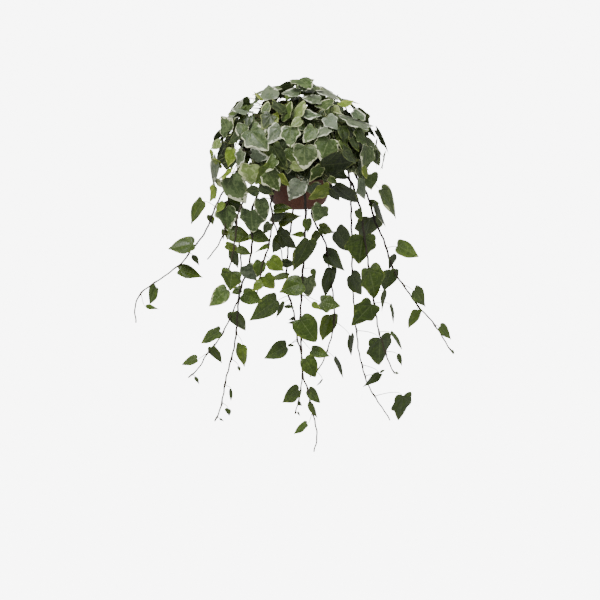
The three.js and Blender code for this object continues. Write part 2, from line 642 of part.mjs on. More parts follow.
function apart(a, b) {
  const grown = a.box.clone().expandByScalar(KEEP_APART);
  if (!grown.intersectsBox(b.box)) {
    return true;
  }
  for (const axis of [...a.normals, ...b.normals]) {
    if (apartAlong(a, b, axis)) {
      return true;
    }
  }
  const axis = new THREE.Vector3();
  for (const edgeA of a.edges) {
    for (const edgeB of b.edges) {
      axis.crossVectors(edgeA, edgeB);
      if (axis.lengthSq() > NEARLY_PARALLEL && apartAlong(a, b, axis.normalize())) {
        return true;
      }
    }
  }
  return false;
}

// Leaves
function bladeFrom(base, tip, width, form, facing, outward) {
  const along = tip.clone().sub(base);
  const seenLength = along.length();
  if (width > WIDEST * seenLength) {
    // Wider than it is long, so it points partly towards the eye.
    const trueLength = width / WIDEST;
    along.addScaledVector(facing, Math.sqrt(trueLength * trueLength - seenLength * seenLength));
  }
  const length = along.length();
  along.normalize();
  const across = along.clone().cross(facing).normalize();
  const ahead = across.clone().cross(along).normalize();
  const usual = LEAF_FORMS[form].usualWidth * length;
  let turn = TURN_SOFTENING * Math.atan2(outward.dot(across), outward.dot(ahead));
  turn = THREE.MathUtils.clamp(turn, -TURN_LIMIT, TURN_LIMIT);
  if (width / Math.cos(turn) < NARROWEST * usual) {
    turn = Math.acos(width / usual) * (turn < 0 ? -1 : 1);
  }
  const normal = ahead.clone().multiplyScalar(Math.cos(turn)).addScaledVector(across, Math.sin(turn));
  const side = along.clone().cross(normal);
  const trueWidth = width / Math.cos(turn);
  const place = ([u, v], lift) => base.clone().addScaledVector(side, u * trueWidth)
    .addScaledVector(along, v * length).addScaledVector(normal, lift);
  return { base, along, side, normal, length, width: trueWidth, form, place };
}

function bladeSolid(blade) {
  const { half } = LEAF_FORMS[blade.form];
  const left = half.map(([u, v]) => [-u, v]).reverse();
  const shape = new THREE.Shape();
  [...half, [0, 1], ...left].forEach(([u, v], i) => {
    shape[i ? 'lineTo' : 'moveTo'](u * blade.width, v * blade.length);
  });
  const plate = new THREE.ExtrudeGeometry(shape, { depth: BLADE_THICKNESS, bevelEnabled: false });
  plate.translate(0, 0, -BLADE_THICKNESS / 2);
  const basis = new THREE.Matrix4().makeBasis(blade.side, blade.along, blade.normal);
  plate.applyMatrix4(basis.setPosition(blade.base));
  return solidOf(plate);
}

// Plants
class Plant {
  constructor(name, foot, curve, radius, tipRadius, finish) {
    this.name = name;
    this.radius = radius;
    this.tipRadius = tipRadius;
    this.finish = finish;
    this.joints = [foot, ...curve.getSpacedPoints(Math.round(curve.getLength() / STEM_STEP) + 1)];
    this.leaves = [];
  }

  stemBlocks() {
    return this.joints.slice(1).map((joint, i) => (
      rodBlock(this.joints[i], joint, this.radius, this.name)));
  }

  // Points of the stem above its collar, those with the least gap by the measure given first.
  nearest(gapTo) {
    const points = this.joints.slice(2, -1).flatMap((joint, k) => (
      FOOT_SHARES.map((share) => joint.clone().lerp(this.joints[k + 3], share))));
    const gaps = new Map(points.map((point) => [point, gapTo(point)]));
    return points.sort((a, b) => gaps.get(a) - gaps.get(b)).slice(0, FEET_TRIED);
  }

  nearestSeen(x, y) {
    return this.nearest((point) => {
      const [u, v] = inView(point);
      return Math.hypot(u - x, v - y);
    });
  }

  solid() {
    const stem = rod(this.joints, this.radius, this.tipRadius, STEM_SIDES);
    const leaves = this.leaves.flatMap(({ blade, stalk }) => (
      [bladeSolid(blade), rod(stalk, STALK_RADIUS, STALK_RADIUS, STALK_SIDES)]));
    const grown = Manifold.union([stem, ...leaves]);
    // A crumb left where a blade grazes its own stem is dropped.
    return grown.decompose().reduce((a, b) => (a.volume() > b.volume() ? a : b));
  }
}

const placed = [];

// Gives the plant its leaf at the first shift along the line of sight, and the first foot on
// the stem, that keeps clear of all that other plants have placed.
function settle(plant, leaf, feetFor, start) {
  const { facing, outward } = leaf;
  const others = placed.filter(({ owner }) => owner !== plant.name);
  const isClear = (mine) => others.every((other) => apart(mine, other));
  for (const nudge of NUDGES) {
    const shift = facing.clone().multiplyScalar(start - nudge);
    const base = leaf.base.clone().add(shift);
    const tip = leaf.tip.clone().add(shift);
    const blade = bladeFrom(base, tip, leaf.width, leaf.form, facing, outward);
    const plate = bladeBlock(blade, plant.name);
    if (isClear(plate)) {
      const end = blade.place([0, STALK_BITE], 0);
      const foot = feetFor(base).find((point) => (
        isClear(rodBlock(point, end, STALK_RADIUS, plant.name))));
      if (foot) {
        plant.leaves.push({ blade, stalk: [foot, end] });
        placed.push(plate, rodBlock(foot, end, STALK_RADIUS, plant.name));
        return true;
      }
    }
  }
  return false;
}

// A plant rooted straight down in the soil at one angle of a circle, then along the points.
function rooted(name, rootAngle, circle, points, radius, tipRadius, finish) {
  const foot = around(rootAngle, circle, SOIL_TOP - ROOT_DEPTH + SEAT_GAP);
  const collar = around(rootAngle, circle, SOIL_TOP + SOIL_CROWNING + COLLAR_RISE);
  const curve = new THREE.CatmullRomCurve3([collar, ...points], false, 'centripetal');
  return new Plant(name, foot, curve, radius, tipRadius, finish);
}

function vinePlant(vine) {
  const last = vine.route.length - 1;
  const hanging = vine.route.map(([x, y], i) => (
    seenAt(x, y, THREE.MathUtils.lerp(vine.depth[0], vine.depth[1], i / last))));
  const start = hanging[0];
  const heading = compass(start);
  const reach = Math.hypot(start.x, start.y);
  const over = around((vine.root + heading) / 2, OVER_RIM.out, OVER_RIM.height);
  const out = Math.max(SHOULDER.least, SHOULDER.reach * reach);
  const height = Math.max(SHOULDER.fall * start.z + SHOULDER.rise, SHOULDER.lowest);
  const points = [over, around(heading, out, height), ...hanging];
  return rooted(vine.name, vine.root, VINE_ROOT_CIRCLE, points, vine.radius, VINE_TIP_RADIUS,
    MATERIALS.vine);
}

function hiddenLeaf({ height, count, middle, span: degrees, scale }, row, i) {
  const angle = middle + degrees * ((i + 0.5) / count - 0.5);
  const share = (height - DOME_CENTRE.z) / DOME_RADII.z;
  const spread = Math.sqrt(1 - share * share);
  const base = around(angle, 1, 0).multiply(DOME_RADII).multiplyScalar(spread);
  base.z = height - DOME_CENTRE.z;
  base.multiplyScalar(scale).add(DOME_CENTRE);
  const facing = domeNormal(base);
  const sideways = new THREE.Vector3(0, 0, 1).cross(facing).normalize();
  const downhill = sideways.clone().cross(facing);
  const size = HIDDEN_LEAF_SIZES[(2 * i + row) % HIDDEN_LEAF_SIZES.length];
  const length = size * HIDDEN_LEAF_LENGTH;
  const swing = HIDDEN_LEAF_SWING * Math.sin(2.4 * i + 1.3 * row);
  const lift = HIDDEN_LEAF_LIFT * Math.sin(1.9 * i + 2.1 * row);
  const tip = base.clone().addScaledVector(downhill, length * Math.cos(swing))
    .addScaledVector(sideways, length * Math.sin(swing)).addScaledVector(facing, lift);
  const width = size * HIDDEN_LEAF_WIDTH;
  const turn = HIDDEN_LEAF_TURN * Math.sin(3.1 * i + 0.7 * row);
  const outward = facing.clone().addScaledVector(sideways, turn).normalize();
  return { base, tip, width, form: 'lobed', facing: outward, outward };
}

function crownLeaves() {
  const front = CROWN_LEAVES.map(({ base, tip, wide, form = 'lobed' }) => {
    const start = onDome(...base);
    const outward = domeNormal(start);
    const width = wide * MM_PER_STEP;
    return { base: start, tip: tipOnDome(start, ...tip), width, form, facing: TO_EYE, outward };
  });
  const hidden = HIDDEN_ROWS.flatMap((row, k) => (
    Array.from({ length: row.count }, (_, i) => ({ ...hiddenLeaf(row, k, i), filler: true }))));
  return [...front, ...hidden];
}

function crownShoot(name, leaves, { circle, bend }, rootAngle) {
  const middle = new THREE.Vector3();
  leaves.forEach((leaf) => middle.add(leaf.base));
  middle.divideScalar(leaves.length);
  const heading = compass(middle);
  const distance = Math.hypot(middle.x, middle.y);
  const points = bend.map(({ reach, out, climb, up }) => (
    around(heading, reach * distance + out, climb * middle.z + up)));
  return rooted(name, rootAngle, circle, points, SHOOT_RADIUS, SHOOT_TIP_RADIUS, MATERIALS.crown);
}

function crownPlants() {
  const leaves = crownLeaves().map((leaf) => ({ ...leaf, angle: compass(leaf.base) }));
  const upper = { band: 'upper', shoots: UPPER_SHOOTS, circle: UPPER_ROOT_CIRCLE, bend: UPPER_BEND };
  const lower = { band: 'lower', shoots: LOWER_SHOOTS, circle: LOWER_ROOT_CIRCLE, bend: LOWER_BEND };
  return [upper, lower].flatMap((layout) => {
    const { band, shoots } = layout;
    const isUpper = layout === upper;
    const members = leaves.filter((leaf) => leaf.base.z >= UPPER_FROM === isUpper);
    members.sort((a, b) => a.angle - b.angle);
    return Array.from({ length: shoots }, (_, k) => {
      const first = Math.round((k * members.length) / shoots);
      const end = Math.round(((k + 1) * members.length) / shoots);
      const own = members.slice(first, end);
      const rootAngle = -180 + (360 * (k + 0.5)) / shoots;
      const name = `crown_shoot_${band}_${k + 1}`;
      return { plant: crownShoot(name, own, layout, rootAngle), leaves: own };
    });
  });
}

// Pot and soil
function potBlocks() {
  const top = RIM_RADIUS + POT_MARGIN;
  const bottom = WALL_BOTTOM_RADIUS + POT_BLOCK_FOOT;
  const rings = [[top, RIM_TOP + POT_MARGIN], [bottom, POT_BOTTOM]];
  const sides = POT_BLOCK_SIDES;
  const corners = rings.flatMap(([radius, height]) => (
    Array.from({ length: sides }, (_, i) => around((360 * i) / sides, radius, height))));
  const edges = Array.from({ length: sides }, (_, i) => around((360 * (i + 0.5)) / sides + 90, 1, 0));
  const slope = Math.atan2(top - bottom, RIM_TOP + POT_MARGIN - POT_BOTTOM);
  const normals = Array.from({ length: sides }, (_, i) => (
    around((360 * (i + 0.5)) / sides, Math.cos(slope), -Math.sin(slope))));
  return [block(corners, [new THREE.Vector3(0, 0, 1), ...normals], edges, 'pot')];
}

function potSolid() {
  const wallDrop = RIM_UNDERSIDE - POT_BOTTOM;
  const slope = (WALL_TOP_RADIUS - WALL_BOTTOM_RADIUS) / wallDrop;
  const outer = (height) => WALL_BOTTOM_RADIUS + slope * (height - POT_BOTTOM);
  const floor = POT_BOTTOM + FOOT_RECESS;
  const shell = turned([
    [0, floor],
    [FOOT_RADIUS - FOOT_WIDTH, floor],
    [FOOT_RADIUS - FOOT_WIDTH + FOOT_BEVEL, POT_BOTTOM],
    [FOOT_RADIUS, POT_BOTTOM],
    [outer(POT_BOTTOM) - 0.3 * BOTTOM_ROUNDING, POT_BOTTOM + 0.3 * BOTTOM_ROUNDING],
    [outer(POT_BOTTOM + BOTTOM_ROUNDING), POT_BOTTOM + BOTTOM_ROUNDING],
    [WALL_TOP_RADIUS, RIM_UNDERSIDE],
    [RIM_RADIUS, RIM_UNDERSIDE],
    [RIM_RADIUS, RIM_TOP - RIM_BEVEL],
    [RIM_RADIUS - RIM_BEVEL, RIM_TOP],
    [WALL_TOP_RADIUS - RIM_BEVEL, RIM_TOP],
    [WALL_TOP_RADIUS - WALL_THICKNESS, RIM_TOP - RIM_BEVEL],
    [WALL_TOP_RADIUS - WALL_THICKNESS, RIM_UNDERSIDE],
    [outer(POT_BOTTOM + BOTTOM_ROUNDING) - WALL_THICKNESS,
      floor + FLOOR_THICKNESS + FLOOR_CORNER],
    [outer(POT_BOTTOM) - WALL_THICKNESS - FLOOR_CORNER, floor + FLOOR_THICKNESS],
    [0, floor + FLOOR_THICKNESS],
  ]);
  const drains = Array.from({ length: DRAIN_HOLES }, (_, i) => {
    const spot = around((360 * i) / DRAIN_HOLES, DRAIN_CIRCLE, 0);
    const top = floor + FLOOR_THICKNESS + CUT_PAST;
    return upright(DRAIN_RADIUS, POT_BOTTOM - CUT_PAST, top, spot.x, spot.y, DRAIN_SIDES);
  });
  return Manifold.difference([shell, ...drains]);
}

function soilSolid(plants) {
  const wallDrop = RIM_UNDERSIDE - POT_BOTTOM;
  const slope = (WALL_TOP_RADIUS - WALL_BOTTOM_RADIUS) / wallDrop;
  const inner = (height) => (
    WALL_BOTTOM_RADIUS + slope * (height - POT_BOTTOM) - WALL_THICKNESS - WALL_GAP);
  const floor = POT_BOTTOM + FOOT_RECESS + FLOOR_THICKNESS;
  const heap = turned([
    [0, floor + SEAT_GAP],
    [inner(POT_BOTTOM) - FLOOR_CORNER, floor + SEAT_GAP],
    [inner(POT_BOTTOM + BOTTOM_ROUNDING), floor + FLOOR_CORNER + SEAT_GAP],
    [inner(RIM_UNDERSIDE), RIM_UNDERSIDE],
    [inner(RIM_UNDERSIDE), SOIL_TOP],
    [0, SOIL_TOP + SOIL_CROWNING],
  ]);
  const holes = plants.map((plant) => {
    const foot = plant.joints[0];
    const bottom = SOIL_TOP - ROOT_DEPTH;
    const top = RIM_TOP + CUT_PAST;
    return upright(plant.radius + 2 * SEAT_GAP, bottom, top, foot.x, foot.y, HOLE_SIDES);
  });
  return Manifold.difference([heap, ...holes]);
}

// Assembly
const vines = VINES.map(vinePlant);
const crown = crownPlants();
const plants = [...vines, ...crown.map(({ plant }) => plant)];
placed.push(...potBlocks());
plants.forEach((plant) => placed.push(...plant.stemBlocks()));

const stuck = [];
VINES.forEach((vine, k) => {
  const plant = vines[k];
  vine.leaves.forEach(({ base, tip, wide, form = 'heart', from = base }, i) => {
    const feet = plant.nearestSeen(...from);
    const depth = feet[0].y;
    const start = seenAt(...base, depth);
    const outward = new THREE.Vector3(start.x, start.y, 0).normalize();
    outward.z = VINE_LEAF_RISE;
    const leaf = { base: start, tip: seenAt(...tip, depth), width: wide * MM_PER_STEP, form };
    const standOff = STAND_OFFS[i % STAND_OFFS.length];
    if (!settle(plant, { ...leaf, facing: TO_EYE, outward }, () => feet, standOff)) {
      stuck.push(`${vine.name} leaf ${i}`);
    }
  });
});
// The leaves in view come first; a filler leaf is left out where there is no room for it.
for (const fillers of [false, true]) {
  crown.forEach(({ plant, leaves }) => {
    const feetFor = (base) => plant.nearest((point) => point.distanceTo(base));
    leaves.filter(({ filler = false }) => filler === fillers).forEach((leaf) => {
      if (!settle(plant, leaf, feetFor, 0) && !fillers) {
        stuck.push(`${plant.name} leaf at ${inView(leaf.base).map(Math.round)}`);
      }
    });
  });
}
if (stuck.length) {
  console.error('no clear place for', stuck.join('; '));
}

const group = new THREE.Group();
group.name = 'potted_ivy';
group.add(meshOf('pot', potSolid(), MATERIALS.pot));
group.add(meshOf('potting_soil', soilSolid(plants), MATERIALS.soil));
plants.forEach((plant) => group.add(meshOf(plant.name, plant.solid(), plant.finish)));

export default group;
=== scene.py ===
"""Ivy in a hanging pot: the looks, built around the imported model.

A tapered pot of soil carries a bushy crown of lobed leaves, and thirteen vines come over its rim
and fall freely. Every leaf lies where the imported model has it: the same traced places, the same
dome and the same rule for keeping plants apart give its foot, tip, width and facing. Places are
worked out in millimetres and become metres when a mesh is made. +Z is up and the front of the
plant faces -Y.
"""

import json
import logging
import math
from dataclasses import dataclass, field
from enum import Enum
from functools import cached_property
from typing import Callable, Iterable, Sequence

import bpy
import numpy as np
from mathutils import Matrix

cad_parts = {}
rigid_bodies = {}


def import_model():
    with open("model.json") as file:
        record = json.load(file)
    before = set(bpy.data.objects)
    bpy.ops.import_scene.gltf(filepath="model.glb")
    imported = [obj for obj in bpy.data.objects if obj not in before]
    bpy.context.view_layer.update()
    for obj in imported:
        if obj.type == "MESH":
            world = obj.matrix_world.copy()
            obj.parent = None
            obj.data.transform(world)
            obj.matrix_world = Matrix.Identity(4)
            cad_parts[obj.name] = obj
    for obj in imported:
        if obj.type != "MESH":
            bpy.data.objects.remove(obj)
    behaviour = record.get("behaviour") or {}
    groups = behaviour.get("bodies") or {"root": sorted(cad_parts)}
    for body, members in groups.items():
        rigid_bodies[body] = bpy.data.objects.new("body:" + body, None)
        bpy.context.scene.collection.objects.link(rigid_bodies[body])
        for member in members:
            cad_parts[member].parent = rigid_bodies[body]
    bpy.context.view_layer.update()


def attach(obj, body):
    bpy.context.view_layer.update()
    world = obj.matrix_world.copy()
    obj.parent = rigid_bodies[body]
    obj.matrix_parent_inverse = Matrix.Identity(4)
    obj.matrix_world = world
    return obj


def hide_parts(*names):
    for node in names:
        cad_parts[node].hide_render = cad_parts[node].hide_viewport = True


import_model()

LOG = logging.getLogger("potted_ivy")
METRES = 0.001

Point = np.ndarray
Colour = tuple[float, float, float]
Range = tuple[float, float]
Bend = tuple[tuple[float, float, float, float], ...]


def unit(vector: Point) -> Point:
    """Returns the vector at length 1."""
    return vector / np.linalg.norm(vector)


def around(degrees: float, radius: float, height: float) -> Point:
    """Gives a point around the pot's axis.

    Args:
        degrees: Compass angle from the front, positive to the right.
        radius: Distance from the axis.
        height: Height above the rim's underside.

    Returns:
        The point in millimetres.
    """
    angle = math.radians(degrees)
    return np.array([radius * math.sin(angle), -radius * math.cos(angle), height])


def compass(point: Point) -> float:
    """Returns the compass angle of a point around the pot's axis."""
    return math.degrees(math.atan2(point[0], -point[1]))


def lerp(start: float, end: float, share: float) -> float:
    """Returns the value that lies the given share of the way from start to end."""
    return start + (end - start) * share


def linear(red: int, green: int, blue: int) -> Colour:
    """Turns a screen colour into the linear values that shaders take.

    Args:
        red: Red, from 0 to 255.
        green: Green.
        blue: Blue.

    Returns:
        The linear colour.
    """
    shares = np.array([red, green, blue]) / 255
    low, high = shares / 12.92, ((shares + 0.055) / 1.055) ** 2.4
    return tuple(float(v) for v in np.where(shares <= 0.04045, low, high))


class LeafForm(Enum):
    """How a leaf blade is shaped."""

    SLIVER = "sliver"
    HEART = "heart"
    LOBED = "lobed"


class Tone(Enum):
    """How a leaf blade is coloured."""

    TRAILING = "trailing"
    BRIGHT = "bright"
    GREEN = "green"
    EDGED = "edged"
    SAGE = "sage"
    GREY = "grey"
    SILVER = "silver"
    # SHADED is painted shade: a darker blade colour for leaves that lie in the crown's shade.
    SHADED = "shaded"
    YOUNG = "young"
    PALE = "pale"
    CREAM = "cream"


SLIVER, HEART, LOBED = LeafForm
(TRAILING, BRIGHT, GREEN, EDGED, SAGE, GREY, SILVER, SHADED, YOUNG, PALE, CREAM) = Tone

Row = tuple[float | LeafForm | Tone | tuple[float, float], ...]


@dataclass(frozen=True)
class LeafColours:
    """The colours of one tone of leaf.

    The margin is a share of the way in from the edge, and the patches a share of the blade.
    """

    ground: Colour
    patch: Colour
    margin: Colour
    margin_width: float
    patch_share: float


LEAF_COLOURS = {
    tone: LeafColours(*(linear(*colour) for colour in colours), *shares)
    for tone, colours, shares in (
        (TRAILING, ((54, 74, 6), (70, 90, 18), (112, 126, 46)), (0.035, 0.3)),
        (BRIGHT, ((88, 112, 14), (108, 130, 36), (158, 170, 78)), (0.05, 0.3)),
        (GREEN, ((58, 78, 18), (80, 98, 40), (194, 202, 146)), (0.07, 0.35)),
        (EDGED, ((58, 78, 26), (86, 104, 56), (222, 226, 186)), (0.1, 0.4)),
        (SAGE, ((62, 80, 40), (88, 104, 62), (208, 212, 176)), (0.07, 0.5)),
        (GREY, ((76, 90, 62), (104, 116, 88), (222, 226, 200)), (0.085, 0.55)),
        (SILVER, ((104, 116, 92), (126, 136, 112), (226, 230, 206)), (0.1, 0.5)),
        # The SHADED colours are painted shade, darker than the colour of a lit blade.
        (SHADED, ((34, 48, 10), (50, 64, 24), (112, 122, 66)), (0.04, 0.35)),
        (YOUNG, ((104, 126, 20), (130, 148, 50), (180, 190, 96)), (0.08, 0.35)),
        (PALE, ((112, 130, 66), (142, 156, 98), (194, 202, 146)), (0.12, 0.45)),
        (CREAM, ((186, 192, 134), (122, 142, 74), (212, 216, 174)), (0.2, 0.4)),
    )
}


@dataclass(frozen=True)
class LeafSpec:
    """One leaf as it is seen in the traced view: foot, tip and width of its blade."""

    base_x: float
    base_y: float
    tip_x: float
    tip_y: float
    wide: float
    form: LeafForm
    tone: Tone
    grown_from: tuple[float, float] | None = None

    @classmethod
    def read(cls, row: Row, form: LeafForm, tone: Tone) -> "LeafSpec":
        """Reads a row of a table of leaves.

        Args:
            row: Foot, tip and width, then what is unusual about it: its form, its tone or the
                place that its stalk grows from.
            form: The usual form.
            tone: The usual tone.

        Returns:
            The leaf.
        """
        unusual = {type(value): value for value in row[5:]}
        return cls(*row[:5], unusual.get(LeafForm, form), unusual.get(Tone, tone),
                   unusual.get(tuple))


@dataclass(frozen=True)
class VineSpec:
    """One trailing vine.

    The root is the compass angle of its hole in the soil. The depth is how far the vine hangs
    behind (+) or before (-) the pot's axis at its first and last place, and the route is where
    its stem is seen.
    """

    name: str
    root: float
    depth: Range
    radius: float
    route: tuple[tuple[float, float], ...]
    leaves: tuple[Row, ...]


@dataclass(frozen=True)
class HiddenRow:
    """A row of crown leaves out of the view, spread evenly round part of the dome."""

    height: float
    count: int
    middle: float
    spread: float
    scale: float


VINES = (
    VineSpec("vine_far_left", -92, (0, -20), 1.2, (
        (218.5, 200), (213, 213), (205, 233), (200, 239), (189.5, 252), (180, 265), (170, 272),
        (156, 282), (141, 293), (136, 303), (134.4, 312), (136, 322.7),
    ), (
        (203, 201, 189, 224, 14), (210, 215, 213, 225, 8, BRIGHT), (194, 244, 168, 248.5, 18),
        (193, 255, 198.5, 266.5, 6.5, SLIVER), (179, 270, 203.5, 276, 14),
        (155.5, 287, 149, 305, 12), (146, 306, 160, 309, 5, SLIVER, (141, 294)),
    )),
    VineSpec("vine_left_short", -66, (-62, -70), 1.1, (
        (226, 206), (226, 218), (224, 232), (221, 241), (216, 248), (207.5, 259.5),
    ), (
        (226, 207, 229, 232, 24, LOBED, EDGED), (227, 229, 227, 241, 7, SLIVER, BRIGHT),
        (229, 233, 252, 238, 17), (227, 200, 247, 213, 16, LOBED), (224, 203, 216, 213, 8, BRIGHT),
        (223, 229, 222.5, 241, 4, SLIVER),
    )),
    VineSpec("vine_left_middle", -112, (45, 20), 1.3, (
        (233, 196), (236, 225), (240, 248), (241, 268), (239, 287), (238, 300), (234, 309),
        (228.5, 321), (220.6, 337), (212, 348), (206, 355), (200, 366), (195, 373), (188.5, 378),
    ), (
        (226, 245, 241, 250, 9, BRIGHT), (233, 250, 236.5, 269, 11.5),
        (234, 312, 244.5, 332, 16.5, GREEN), (220, 331.5, 200, 342, 13), (212, 347, 222, 363.5, 11),
        (197, 359, 181, 364, 10, (207, 353)), (195.5, 376.5, 199, 385, 4.5, SLIVER),
    )),
    VineSpec("vine_left_long", -42, (-88, -70), 1.5, (
        (251, 214), (252, 232), (252, 244), (251, 252), (249.5, 264), (243, 282), (240, 290),
        (238.5, 300), (239, 308), (237.5, 316), (236.3, 332), (233, 352.7), (231, 360),
        (225.9, 379), (224, 390), (222, 402.4), (217, 418), (215, 421.5),
    ), (
        (251, 210.5, 253.5, 233, 26, LOBED, SAGE), (250, 233, 271.5, 241, 14),
        (246, 265.5, 257, 282, 17, GREY), (241, 289, 231, 293, 8.5), (243, 294, 262.5, 302, 17),
        (242, 344.5, 242.5, 368, 13, BRIGHT, (236, 331)),
        (238.5, 366, 240, 372, 3.5, SLIVER, (232, 359)),
        (231, 389, 230.5, 401.5, 4.5, SLIVER, (225, 384)),
        (228, 408, 228.5, 416, 7, SLIVER, (222, 402)),
        (219.5, 418.5, 224, 422, 2.5, SLIVER, (217.5, 416)),
    )),
    VineSpec("vine_left_front", -54, (-104, -100), 1.2, (
        (238, 214), (236, 232), (232, 258), (228, 270), (229, 280), (230.5, 290),
    ), (
        (232, 271, 229.5, 290, 23, LOBED), (227, 289.5, 209, 307, 18, GREEN),
        (238, 249, 251, 254, 9),
    )),
    VineSpec("vine_front_left", -17, (-114, -108), 1.3, (
        (271, 199), (271.5, 210), (273, 223), (270, 237), (267, 252), (263, 259), (262, 270),
        (259, 283), (257, 294),
    ), (
        (260.5, 199, 265.5, 222, 15, SAGE), (261, 261, 257, 278, 13.5),
        (270, 259, 284, 271, 16, BRIGHT), (264, 276, 273.5, 290, 17, LOBED, BRIGHT),
        (262, 282, 252, 290.5, 10, BRIGHT), (270, 244, 253, 252, 5, SLIVER),
        (270, 223, 263, 235, 9, SHADED), (274, 209, 292, 207.5, 10),
    )),
    VineSpec("vine_back_left", -162, (92, 96), 1.1, (
        (277, 204), (274, 223), (278, 235), (281, 250), (283, 262),
    ), (
        (283, 213, 269, 221, 12, SAGE), (279, 222, 300.5, 213.5, 15, BRIGHT),
        (278, 234, 297, 247, 20, LOBED), (280, 238, 272, 253, 13), (282, 264, 297, 263, 10, GREEN),
    )),
    VineSpec("vine_front_long", 4, (-112, -100), 1.5, (
        (305, 199), (305.6, 210), (306, 219), (305.6, 227), (303, 258.6), (304, 265), (302, 277),
        (301.5, 297), (300.3, 316), (301, 340), (301.5, 350), (302, 360.6), (303, 376),
        (306.9, 384), (309.5, 399.8), (314.7, 420.7), (317.3, 433.8), (316, 441), (313.9, 452),
    ), (
        (307, 219, 308, 233, 10), (305, 234, 289, 234, 6, SLIVER), (309, 240, 294, 272, 18),
        (312, 269, 316, 278, 6.5, SLIVER), (302, 283, 279, 293, 22),
        (307, 277, 308, 298, 18, LOBED, SAGE),
        (312, 303, 321, 309.5, 7, SLIVER, BRIGHT, (301.5, 296)),
        (320.5, 302, 340.5, 307, 18, LOBED, (301.5, 295)), (300, 319, 316.5, 342, 25),
        (311.5, 350, 330, 356.5, 12.5, (301, 338)), (305, 358, 316.5, 377.5, 17.5),
        (308.5, 390, 320.5, 403, 11), (308.5, 402.5, 318.5, 418, 7, SLIVER),
        (307, 424, 293, 434, 7.5, (312.5, 413)),
        (322, 206, 315, 222, 18, LOBED, SAGE, (305.6, 210)),
    )),
    VineSpec("vine_back_middle", -178, (94, 84), 1.4, (
        (293, 212), (289, 240), (287, 265), (287, 288), (290, 300), (293, 309), (295, 319),
        (297, 338), (300, 348), (302, 358), (302, 376), (300.5, 392), (299, 400), (297, 408),
        (295, 413.5),
    ), (
        (277, 300, 249.5, 321, 22, (289, 297)), (284, 302, 275.5, 318, 6, SLIVER, BRIGHT),
        (284.5, 306.5, 294.5, 306.5, 4.5, SLIVER), (295, 318, 288, 319.5, 4, SLIVER),
        (295, 322, 287, 323, 3.5, SLIVER), (286.5, 346.5, 264, 359, 18, (297, 338)),
        (288, 345, 295, 345.5, 3.5, SLIVER), (299, 390, 281.5, 402.5, 15.5),
        (297.5, 402, 302.5, 405.5, 4.5, SLIVER), (297.5, 412, 300.5, 416.5, 2.5, SLIVER),
        (289, 274, 262, 281, 7, SLIVER, BRIGHT),
    )),
    VineSpec("vine_back_right", 146, (70, 52), 1.4, (
        (312, 204), (312, 216), (318, 229), (324.5, 236), (326, 249), (329, 268), (332, 285),
        (333, 297), (334.8, 311), (333, 329), (329, 346), (323, 359), (320, 367), (315, 371),
        (310, 377),
    ), (
        (319, 228, 335, 231, 13, BRIGHT), (318, 231, 311.5, 247.5, 9, BRIGHT),
        (336, 231, 352, 251, 22), (325, 253, 346, 270, 18), (330, 268.5, 326, 297.5, 15),
        (330, 315, 323.5, 341, 19.5, BRIGHT), (350.5, 335, 351.5, 356, 8, (334.6, 320)),
        (335, 357, 345, 378.5, 6, SLIVER, (327, 350)),
        (322.5, 379, 317, 386.5, 2.5, SLIVER, (316, 371)),
    )),
    VineSpec("vine_right_back", 108, (40, 30), 1.4, (
        (350, 178), (351, 205), (351.5, 230), (352, 262), (352.6, 290), (354, 305), (355.2, 324),
        (357, 335), (359.2, 355), (361.5, 363), (365.7, 379), (369, 386), (374.8, 397),
        (386.6, 414), (390, 420),
    ), (
        (351, 275, 362, 294.5, 18), (380, 337.5, 379, 365, 29, LOBED, (356, 328)),
        (379, 373, 363, 388, 10, (361.5, 364)), (380, 372.5, 385, 369.5, 3, SLIVER),
        (403, 395, 398, 421, 22, LOBED, (374.8, 396.6)),
    )),
    VineSpec("vine_right_front", 52, (-82, -60), 1.4, (
        (352, 182), (355, 192), (359, 203), (361, 212), (364, 235), (366.5, 250), (368.5, 265),
        (371, 287), (374.8, 305.7), (378.8, 331.8), (384, 347.5), (386, 353), (389, 363),
        (391, 369), (394.4, 373.5),
    ), (
        (357, 210, 362, 221.5, 8), (363, 236, 357, 264, 31, LOBED),
        (368.5, 268, 375.5, 299, 25, LOBED), (384, 290, 382.5, 312.5, 6.5, SLIVER),
        (372, 304, 350.5, 325.5, 24, LOBED), (391, 304, 395, 324, 4.5, SLIVER, (375.5, 306)),
        (391, 331.5, 404, 349, 5.5, SLIVER, (380, 332)),
        (398, 354, 402.8, 366.5, 6, SLIVER, (386, 352)), (395, 372.5, 399, 373.5, 3, SLIVER),
    )),
    VineSpec("vine_far_right", 84, (-16, -10), 1.4, (
        (370.5, 201), (372, 215), (376, 224), (379.5, 231), (383, 238), (386, 247), (388, 254),
        (390.5, 262), (393, 268), (399, 279), (403, 285), (412, 297), (417, 305), (423, 311),
        (437.6, 329), (445.4, 342), (453.2, 354),
    ), (
        (374, 204, 386, 227, 8, SAGE), (370, 217, 365, 240, 28, LOBED), (397, 246, 419, 256, 18),
        (394, 254, 389, 271.5, 8, SLIVER, SAGE), (390.5, 270, 385, 291, 19),
        (414, 290, 428, 305.5, 16, (404, 285)), (416.5, 310, 408.8, 328.5, 12, BRIGHT),
        (440, 326.5, 452.5, 339, 11, (434, 323)), (451.5, 350, 454.5, 354, 3, SLIVER),
        (369, 203, 380, 203, 8, BRIGHT),
    )),
)

